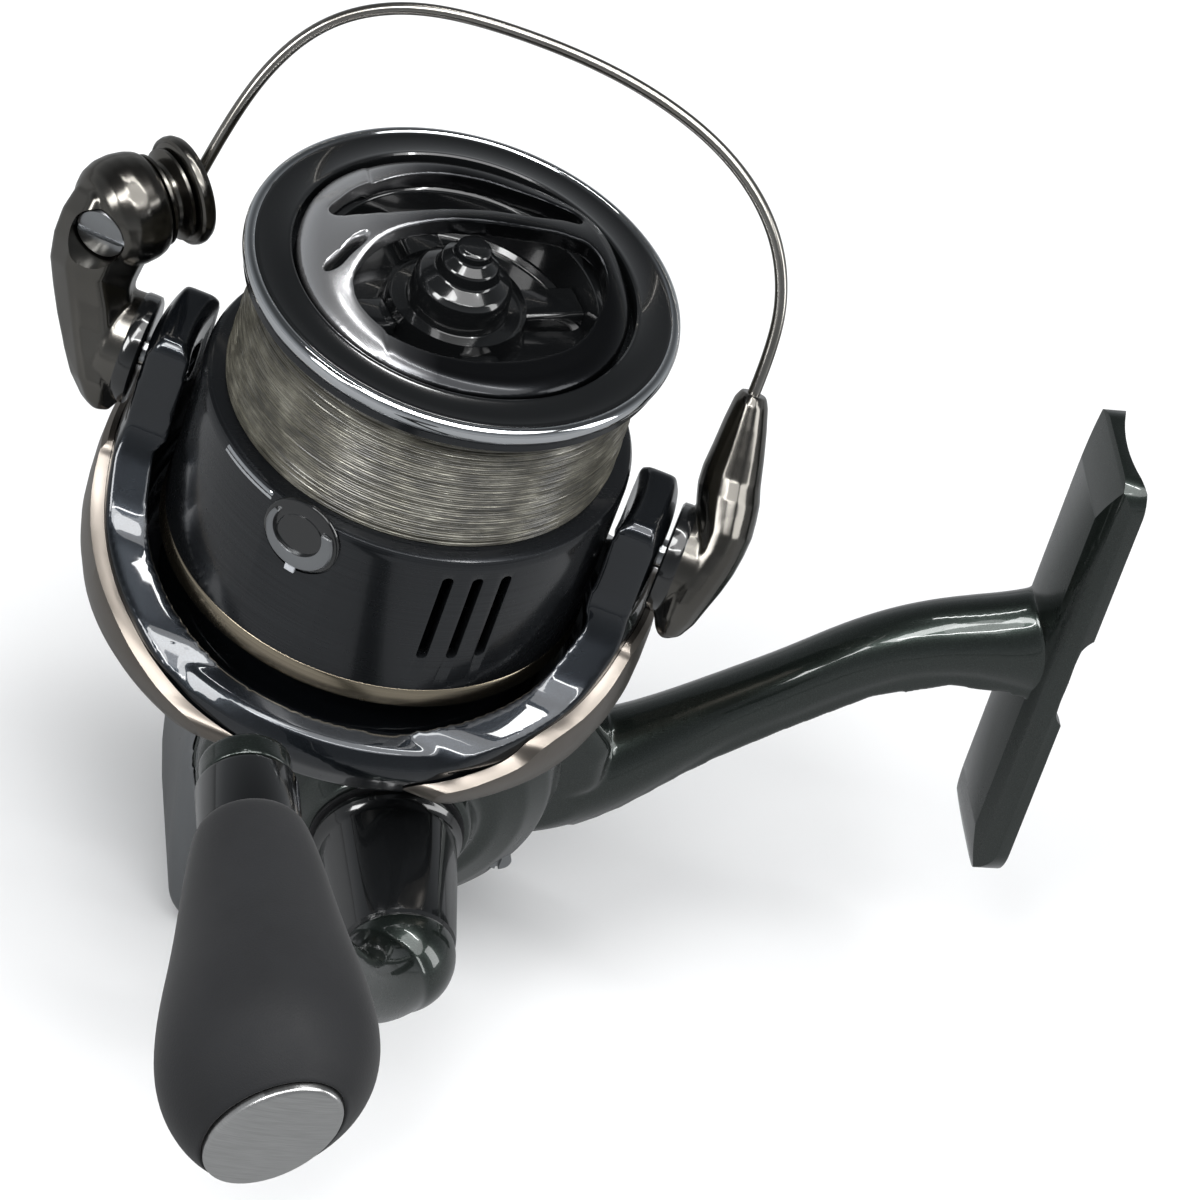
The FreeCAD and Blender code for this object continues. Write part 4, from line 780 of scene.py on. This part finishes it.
spine = loft("arm_spine", ranges([(-7.6, 30.3, 31.6, 0, 2.2), (-7.0, 29.8, 32.6, 0, 3.4),
    (-5.4, 29.0, 33.5, 0, 4.6), (-3.2, 28.5, 34.2, 0, 5.3), (-1.4, 28.4, 34.8, 0, 5.6),
    (0.6, 28.8, 35.3, 0, 5.7), (2.8, 29.6, 35.6, 0, 5.6), (4.8, 29.6, 35.7, 0, 5.4), (6.5, 29.0, 35.5, 0, 5.0),
    (8.2, 28.5, 35.2, 0, 4.6), (10.0, 28.35, 34.6, 0, 3.9), (12.4, 28.5, 34.0, 0, 3.6),
    (15.2, 28.6, 33.2, 0, 3.2), (17.6, 28.8, 32.4, 0, 2.8), (18.5, 29.2, 31.9, 0, 2.4)]), 20, BAIL)
boss = turn("arm_boss", [(0, 28.1), (5.3, 28.12), (5.6, 28.5), (5.6, 31.6), (4.4, 33.4), (0, 33.6)],
    BAIL.translation, pivot_line, steps=64)
arm = welded("wire_arm", [spine, boss], 0.17, 10)
dress(arm, bronze, "bail", "bail_metal", "bail_arm")

support = turn("roller_support", [(1.35, -0.9), (3.2, -0.95), (4.7, -0.9), (5.35, -0.65), (5.62, -0.2),
    (5.66, 0.2), (5.55, 0.6), (5.3, 0.78), (5.15, 0.7), (5.0, 0.78), (4.6, 0.9), (1.35, 0.9)], roller_foot,
    roller_line, steps=96)
shade(support, 30)
dress(support, bronze, "bail", "bail_metal", "wire_support")
roller = turn("roller_sleeve", [(2.42, 1.15), (4.5, 1.15), (4.75, 1.3), (4.75, 1.6), (4.3, 1.85), (3.7, 2.15),
    (3.55, 2.45), (3.7, 2.75), (4.3, 3.05), (4.75, 3.3), (4.75, 3.6), (4.5, 3.75), (2.42, 3.75)], roller_foot,
    roller_line, steps=96)
shade(roller, 50)
dress(roller, bronze, "roller", "bail_metal", "line_roller")
screw = turn("roller_bolt", [(0, 4.75), (2.2, 4.7), (2.62, 4.5), (2.74, 4.15), (2.74, 3.2), (0, 3.2)],
    dome_middle, screw_line, steps=72)
head_height = 4.8
slot_heading = math.radians(8)
blade = block("blade", (8, 0.7, 1.3), Matrix.Translation(dome_middle + screw_line * head_height * MM)
              @ screw_line.to_track_quat("Z", "Y").to_matrix().to_4x4() @ Matrix.Rotation(slot_heading, 4, "Z"))
cut_out(screw, [blade])
round_edges(screw, 0.07)
shade(screw)
dress(screw, satin, "bail", "bright_chrome", "roller_screw")
shank = turn("roller_shank", [(0, 4.2), (1.28, 4.2), (1.28, -1.0), (1.1, -1.15), (0, -1.2)], roller_foot,
    roller_line, steps=48)
shade(shank)
dress(shank, satin, "bail", "bright_chrome")


def strand(name, points, diameter):
    """Smooth drawn wire through given control points."""
    deselect()
    bpy.ops.curve.primitive_nurbs_path_add()
    curve = bpy.context.object
    curve.name = name
    spline = curve.data.splines[0]
    spline.points.add(len(points) - len(spline.points))
    for point, place in zip(spline.points, points):
        point.co = (*place, 1)
        point.radius = 1
    spline.use_endpoint_u = True
    spline.order_u = 4
    spline.resolution_u = 14
    curve.data.bevel_depth = diameter / 2 * MM
    curve.data.bevel_resolution = 6
    curve.data.use_fill_caps = True
    curve.data.dimensions = "3D"
    only(curve)
    bpy.ops.object.convert(target="MESH")
    piece = bpy.context.object
    settle(piece)
    bpy.ops.object.shade_smooth()
    return piece


wire_points = [bail_point(*spot) for spot in ((-29.3, 1.0, 17.4), (-28.9, 0.9, 20.2), (-27.9, 0.3, 26.0),
    (-25.9, 0, 32.6), (-21.9, 0, 38.6), (-14.4, 0, 42.6), (-4.0, 0, 43.6), (7.5, 0, 43.4), (18.6, 0, 40.6),
    (26.0, 0, 35.4), (29.6, 0, 29.4), (30.6, 0, 24.4), (30.5, 0, 18.0))]
wire = strand("bail_hoop", wire_points, 1.3)
hoop_steel, tree, shader, place = material("hoop_steel", Metallic=1.0)
tint(tree, shader, noise(tree, place, 120.0, 3.0), (0.3, 0.285, 0.26), (0.4, 0.385, 0.36))
handled(tree, shader, place, 0.22, 0.12)
dress(wire, hoop_steel, "bail", "bail_metal", "bail_wire")


# ---- Body --------------------------------------------------------------------------------------
# Magnesium casting with the stem and the rod foot in one piece, closed by the side cover. Both are
# enamelled in a dark green that looks black in shade.

body_enamel = enamel("body_enamel", (0.008, 0.0115, 0.0095), (0.04, 0.052, 0.046), 0.28)
rib = loft("stem_rib", [(-(low + high) / 2, near / 2, out, (high - low) / 2, -near / 2)
    for out, near, low, high in ((30.0, -6.3, -71.6, -65.2), (34.4, -5.8, -68.4, -61.9),
    (41.4, -4.6, -61.5, -56.5), (49.2, -4.3, -54.5, -49.7), (57.0, -4.4, -47.9, -43.3),
    (64.5, -4.8, -44.6, -40.1), (70.5, -5.2, -44.4, -39.3), (74.4, -5.6, -44.8, -39.0))], 4,
    spool_place @ Matrix.Rotation(math.radians(90), 4, "Y"), math.radians(45))
casting = softened("body_frame", "body_casting", 0.3, 7, 0.38, [rib])
seat_reach, seat_height, seat_slope = 76.4, -39.5, math.radians(-3.8)
FOOT = Matrix.Translation(at(seat_reach, 0, seat_height)) @ Matrix.Rotation(seat_slope, 4, "Y")
stem_end = 1.45
sliced(casting, FOOT @ Vector((-stem_end * MM, 0, 0)), FOOT.to_3x3() @ Vector((1, 0, 0)))
foot_depth, foot_width = 4.9, 14.8
foot_back, foot_front = -32.0, 29.25
foot = block("rod_foot", (foot_depth, foot_width, foot_front - foot_back),
             FOOT @ Matrix.Translation(Vector((-foot_depth / 2, 0, (foot_front + foot_back) / 2)) * MM))


def is_corner(one, other, end):
    """Whether an edge of the foot runs through its depth at the given end of its length."""
    one, other = (FOOT.inverted() @ spot / MM for spot in (one, other))
    through = abs(one.y - other.y) < 0.01 and abs(one.z - other.z) < 0.01
    return through and abs(one.y) > foot_width / 2 - 0.1 and abs(one.z - end) < 0.1


for end, corner in ((foot_back, 6.2), (foot_front, 3.2)):
    round_corners(foot, lambda one, other: is_corner(one, other, end), corner, 14)
EDGEWAYS = FOOT @ Matrix(((0, 1, 0, 0), (0, 0, 1, 0), (1, 0, 0, 0), (0, 0, 0, 1)))


def foot_bar(name, radius, centre, steps):
    """A round bar along the foot, longer than it, with its centre at a depth in the foot's own place."""
    return turn(name, [(0, -36), (radius, -36), (radius, 34), (0, 34)], FOOT @ (Vector((centre, 0, 0)) * MM),
                FOOT.to_3x3() @ UP, steps)


saddle_back = foot_bar("saddle_back", 9.7, 4.95, 240)
ridge = outline_prism("ridge", [(-33.5, -1.6), (-32, -2.15), (-29.5, -2.9), (-25.5, -3.6), (-20, -4.2),
    (-13, -4.65), (0, -4.9), (12, -4.7), (18, -4.3), (23, -3.7), (27, -2.95), (29.5, -2.2), (30.6, -1.7),
    (32, 2.2), (0, 3), (-34.5, 2.2)], -10, 10, EDGEWAYS)
for wall in (saddle_back, ridge):
    modify(foot, "BOOLEAN", operation="INTERSECT", object=wall, solver="EXACT")
    bpy.data.objects.remove(wall)
hollow = foot_bar("hollow", 17.0, 15.84, 360)
relief = outline_prism("relief", [(-5.9, 1.2), (-5.2, 0.2), (-3.7, -0.85), (-2.6, -1.0), (1.5, -1.0),
    (5.6, -1.0), (6.7, -0.85), (8.2, 0.2), (8.9, 1.2), (1.5, 1.8)], -10, 10, EDGEWAYS)
cut_out(foot, [hollow, relief])
round_edges(foot, 0.3, 3, 28)
shade(foot, 40)
dress(foot, body_enamel, "body", "body_paint")
dress(casting, body_enamel, "body", "body_paint", "body_frame")
cover = softened("side_cover", "gear_cover", 0.3, 6)
dress(cover, body_enamel, "body", "body_paint", "side_cover")
guard = softened("rear_guard", "rear_shell", 0.26, 5)
dress(guard, satin, "body", "guard_metal", "rear_guard")


# ---- Handle ------------------------------------------------------------------------------------
# Forged crank in the body's dark green, on a gloss black cone. The cone screws into the drive
# gear and carries the crank round with it.

crank = softened("handle_arm", "crank", 0.24, 8)
dress(crank, body_enamel, "handle", "body_paint", "handle_arm")
drive_low, drive_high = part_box("handle_shank")
drive_centre = (drive_low + drive_high) / 2
OUT = Vector((0, -1, 0))
crank_middle = Vector((drive_centre.x, 0, drive_centre.z))
cone = turn("black_cone", [(0, 3.0), (2.1, 3.0), (2.1, 17.6), (3.6, 17.6), (3.6, 18.6), (7.55, 18.6),
    (7.78, 18.75), (7.8, 19.3), (7.6, 19.55), (7.2, 20.0), (7.12, 20.6), (6.85, 24.5), (6.4, 29.0),
    (6.08, 32.3), (5.95, 33.05), (5.6, 33.3), (0, 33.3)], crank_middle, OUT, steps=128)
shade(cone, 45)
dress(cone, black, "handle", "black_gloss", "handle_shank")


# ---- Knob --------------------------------------------------------------------------------------
# Soft foam-rubber grip, flattened and fuller towards its end, on a gloss black collar, with a
# satin silver cap let into the end.

knob_low, knob_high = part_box("knob_collar")
knob_axis = Vector(((knob_low.x + knob_high.x) / 2, 0, (knob_low.z + knob_high.z) / 2))
LEAN = math.radians(61)
WIDE = Vector((math.cos(LEAN), 0, math.sin(LEAN)))
HIGH = Vector((-math.sin(LEAN), 0, math.cos(LEAN)))
KNOB = Matrix.Translation(knob_axis) @ Matrix((WIDE, HIGH, OUT)).transposed().to_4x4()


def ovals(rows):
    """Rings given as (distance out, half width, half height)."""
    return [(0, 0, out, wide, high) for out, wide, high in rows]


grip_start = 58.9
knob_end = 93.7
grip = loft("knob_sleeve", ovals([(grip_start + 2.2, 4.3, 4.3), (grip_start, 4.35, 4.35),
    (grip_start - 0.25, 4.7, 4.6), (grip_start + 0.15, 5.05, 4.95), (grip_start + 1.0, 5.5, 5.3),
    (grip_start + 3.5, 6.2, 5.8), (grip_start + 6.5, 6.9, 6.3), (grip_start + 11, 7.75, 7.0),
    (grip_start + 15.4, 8.75, 7.75), (grip_start + 19.5, 9.8, 8.65), (grip_start + 23.3, 10.5, 9.2),
    (grip_start + 26.5, 10.75, 9.3), (grip_start + 29.2, 10.4, 8.8), (grip_start + 31.4, 9.6, 7.7),
    (grip_start + 32.9, 8.7, 6.5), (knob_end - 1.2, 8.1, 5.75), (knob_end - 0.7, 7.75, 5.25),
    (knob_end - 0.75, 7.5, 4.95), (knob_end - 1.6, 7.42, 4.85)]), 40, KNOB)
modify(grip, "SUBSURF", levels=2, render_levels=2)
only(grip)
bpy.ops.object.shade_smooth()
rubber, tree, shader, place = material("grip_rubber", Metallic=0.0, Roughness=0.75, IOR=1.46,
    Sheen_Weight=0.12, Sheen_Roughness=0.45)
grain = noise(tree, place, 5200.0, 3.0, 0.6)
cloud = noise(tree, place, 120.0, 4.0, 0.6)
tint(tree, shader, cloud, (0.005, 0.0054, 0.0066), (0.0085, 0.0092, 0.011))
tree.links.new(spread(tree, cloud, 0.3, 0.7, 0.66, 0.8), shader.inputs["Roughness"])
bump(tree, shader, grain, 0.00005, 0.5)
dress(grip, rubber, "knob", "grip", "knob_grip")

cap = loft("knob_badge", ovals([(knob_end - 1.6, 7.38, 4.78), (knob_end - 0.25, 7.38, 4.78),
    (knob_end - 0.02, 7.2, 4.62), (knob_end + 0.1, 6.9, 4.35), (knob_end + 0.28, 4.6, 2.9),
    (knob_end + 0.36, 2.2, 1.4)]), 96, KNOB)
round_edges(cap, 0.1)
shade(cap, 40)
brushed, tree, shader, place = material("brushed_cap", Metallic=1.0, Base_Color=(0.52, 0.52, 0.52))
hairline = noise(tree, stretched(tree, place, (400, 400, 9000), rotation=(0.1, 0.5, 0.2)), 1.0, 2.0)
tint(tree, shader, hairline, (0.47, 0.47, 0.465), (0.57, 0.57, 0.565))
handled(tree, shader, place, 0.3, 0.12, 0.000002)
dress(cap, brushed, "knob", "cap_silver", "knob_cap")

collar = turn("knob_ferrule", [(4.2, 53.3), (4.5, 53.3), (4.72, 53.45), (4.8, 53.75), (4.8, 58.9),
    (4.2, 58.9)], knob_axis, OUT, steps=96)
shade(collar, 45)
dress(collar, black, "knob", "black_gloss", "knob_collar")


# ---- Inner works -------------------------------------------------------------------------------
# The gear train, shaft, bearings and drag stack, hidden inside the body, rotor and spool. They
# stay as made, each in its own metal, plastic, felt or rubber.


def plain_metal(name, dark, light, roughness, scale=700.0):
    made, tree, shader, place = material(name, Metallic=1.0)
    tint(tree, shader, noise(tree, place, scale, 3.0), dark, light)
    handled(tree, shader, place, roughness, 0.12)
    return made


def plain_solid(name, dark, light, roughness, scale=900.0, relief=0.00003):
    made, tree, shader, place = material(name, Metallic=0.0)
    spots = noise(tree, place, scale, 4.0)
    tint(tree, shader, spots, dark, light)
    handled(tree, shader, place, roughness, 0.1)
    bump(tree, shader, spots, relief, 0.4)
    return made


finishes = (
    (plain_metal("ground_steel", (0.36, 0.37, 0.38), (0.5, 0.51, 0.52), 0.22),
     "guide_rod drive_shaft knob_shaft knob_screw clutch_sleeve bail_spring pivot_bolts main_shaft worm_pawl "
     "drag_washers washer_clip worm_shaft trip_lever drag_nut nut_lock"),
    (plain_metal("bearing_steel", (0.5, 0.51, 0.52), (0.62, 0.63, 0.64), 0.14),
     "drive_bearings pinion_bearings clutch_rollers knob_bearings roller_bearing spool_bearings"),
    (plain_metal("gear_alloy", (0.38, 0.37, 0.34), (0.5, 0.49, 0.46), 0.3),
     "bearing_plate clutch_housing drive_gear slider"),
    (plain_metal("gear_brass", (0.5, 0.36, 0.13), (0.62, 0.47, 0.2), 0.25), "pinion rotor_nut spool_support"),
    (plain_solid("white_plastic", (0.62, 0.61, 0.57), (0.72, 0.71, 0.67), 0.4),
     "worm_bushes idler_gear worm_gear knob_core"),
    (plain_solid("felt_washer", (0.28, 0.26, 0.22), (0.42, 0.4, 0.35), 0.95, 2600.0, 0.0001), "drag_felts"),
    (plain_solid("seal_rubber", (0.012, 0.012, 0.013), (0.022, 0.022, 0.024), 0.6), "handle_seal"),
    (black, "far_cap"),
    (satin, "cover_screws"))
for finish, nodes in finishes:
    for name in nodes.split():
        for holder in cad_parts[name].material_slots:
            holder.material = finish


# ---- Studio ------------------------------------------------------------------------------------
# Plain pale floor, soft panels of light round the reel, a hazy overhead light and the camera.
# The floor throws less light back onto the reel than its own pale colour would.

floor_material, tree, shader, place = material("studio_floor", Roughness=0.9)
paper = colours(tree, noise(tree, place, 30.0, 3.0), [(0.3, (0.85, 0.855, 0.86)), (0.7, (0.87, 0.875, 0.88))])
seen = tree.nodes.new("ShaderNodeMix")
seen.data_type = "RGBA"
seen.inputs[6].default_value = (0.26, 0.265, 0.27, 1)
tree.links.new(tree.nodes.new("ShaderNodeLightPath").outputs["Is Camera Ray"], seen.inputs["Factor"])
tree.links.new(paper, seen.inputs[7])
tree.links.new(seen.outputs[2], shader.inputs["Base Color"])
deselect()
floor_size, floor_gap = 6, 0.0006
bpy.ops.mesh.primitive_plane_add(size=floor_size, location=(0, 0, cad_bounds[0][2] - floor_gap))
floor = bpy.context.object
floor.name = "floor"
settle(floor)
floor.data.materials.append(floor_material)

world = bpy.data.worlds.new("studio")
bpy.context.scene.world = world
world.use_nodes = True
sky = world.node_tree
height = sky.nodes.new("ShaderNodeSeparateXYZ")
sky.links.new(sky.nodes.new("ShaderNodeTexCoord").outputs["Generated"], height.inputs[0])
sky.links.new(colours(sky, spread(sky, height.outputs[2], -0.1, 1.0),
    [(0.0, (0.8, 0.82, 0.84)), (0.3, (0.42, 0.44, 0.46)), (0.75, (0.1, 0.105, 0.11))]),
    sky.nodes["Background"].inputs["Color"])
sky.nodes["Background"].inputs["Strength"].default_value = 0.62

middle = at(0, -10, -25)
for name, offset, size, power in (
        ("key_panel", (-0.35, -0.3, 0.95), (0.22, 0.6), 4.0),
        ("left_panel", (-0.78, -0.36, 0.56), (0.3, 0.42), 4.4),
        ("near_tube", (-0.1, -0.55, 0.9), (0.9, 0.035), 2.4),
        ("far_tube", (0.1, 0.15, 1.0), (0.9, 0.035), 2.6),
        ("side_panel", (0.9, -0.3, 0.45), (0.3, 0.7), 3)):
    deselect()
    bpy.ops.object.light_add(type="AREA", location=middle + Vector(offset))
    light = bpy.context.object
    light.name = name
    light.data.shape = "RECTANGLE"
    light.data.size, light.data.size_y = size
    light.data.energy = power
    light.rotation_euler = (middle - light.location).to_track_quat("-Z", "Y").to_euler()
deselect()
bpy.ops.object.light_add(type="SUN", location=middle + Vector((0.2, -0.3, 1.0)))
daylight = bpy.context.object
daylight.name = "overhead_light"
daylight.data.energy = 1.5
daylight.data.angle = math.radians(50)
daylight.rotation_euler = (math.radians(18), math.radians(10), 0)
bpy.context.scene.view_settings.view_transform = "Standard"

deselect()
bpy.ops.object.camera_add(location=at(-113.791, -360.459, 312.577))
camera = bpy.context.object
camera.name = "camera"
camera.matrix_world = Matrix((
    (0.957141, -0.115148, -0.265747, camera.location.x),
    (-0.104597, 0.718204, -0.687926, camera.location.y),
    (0.270074, 0.686239, 0.675379, camera.location.z),
    (0, 0, 0, 1)))
camera.data.sensor_width = 36
camera.data.lens = 150.85
camera.data.clip_start = 0.01
bpy.context.scene.camera = camera

bpy.context.view_layer.update()
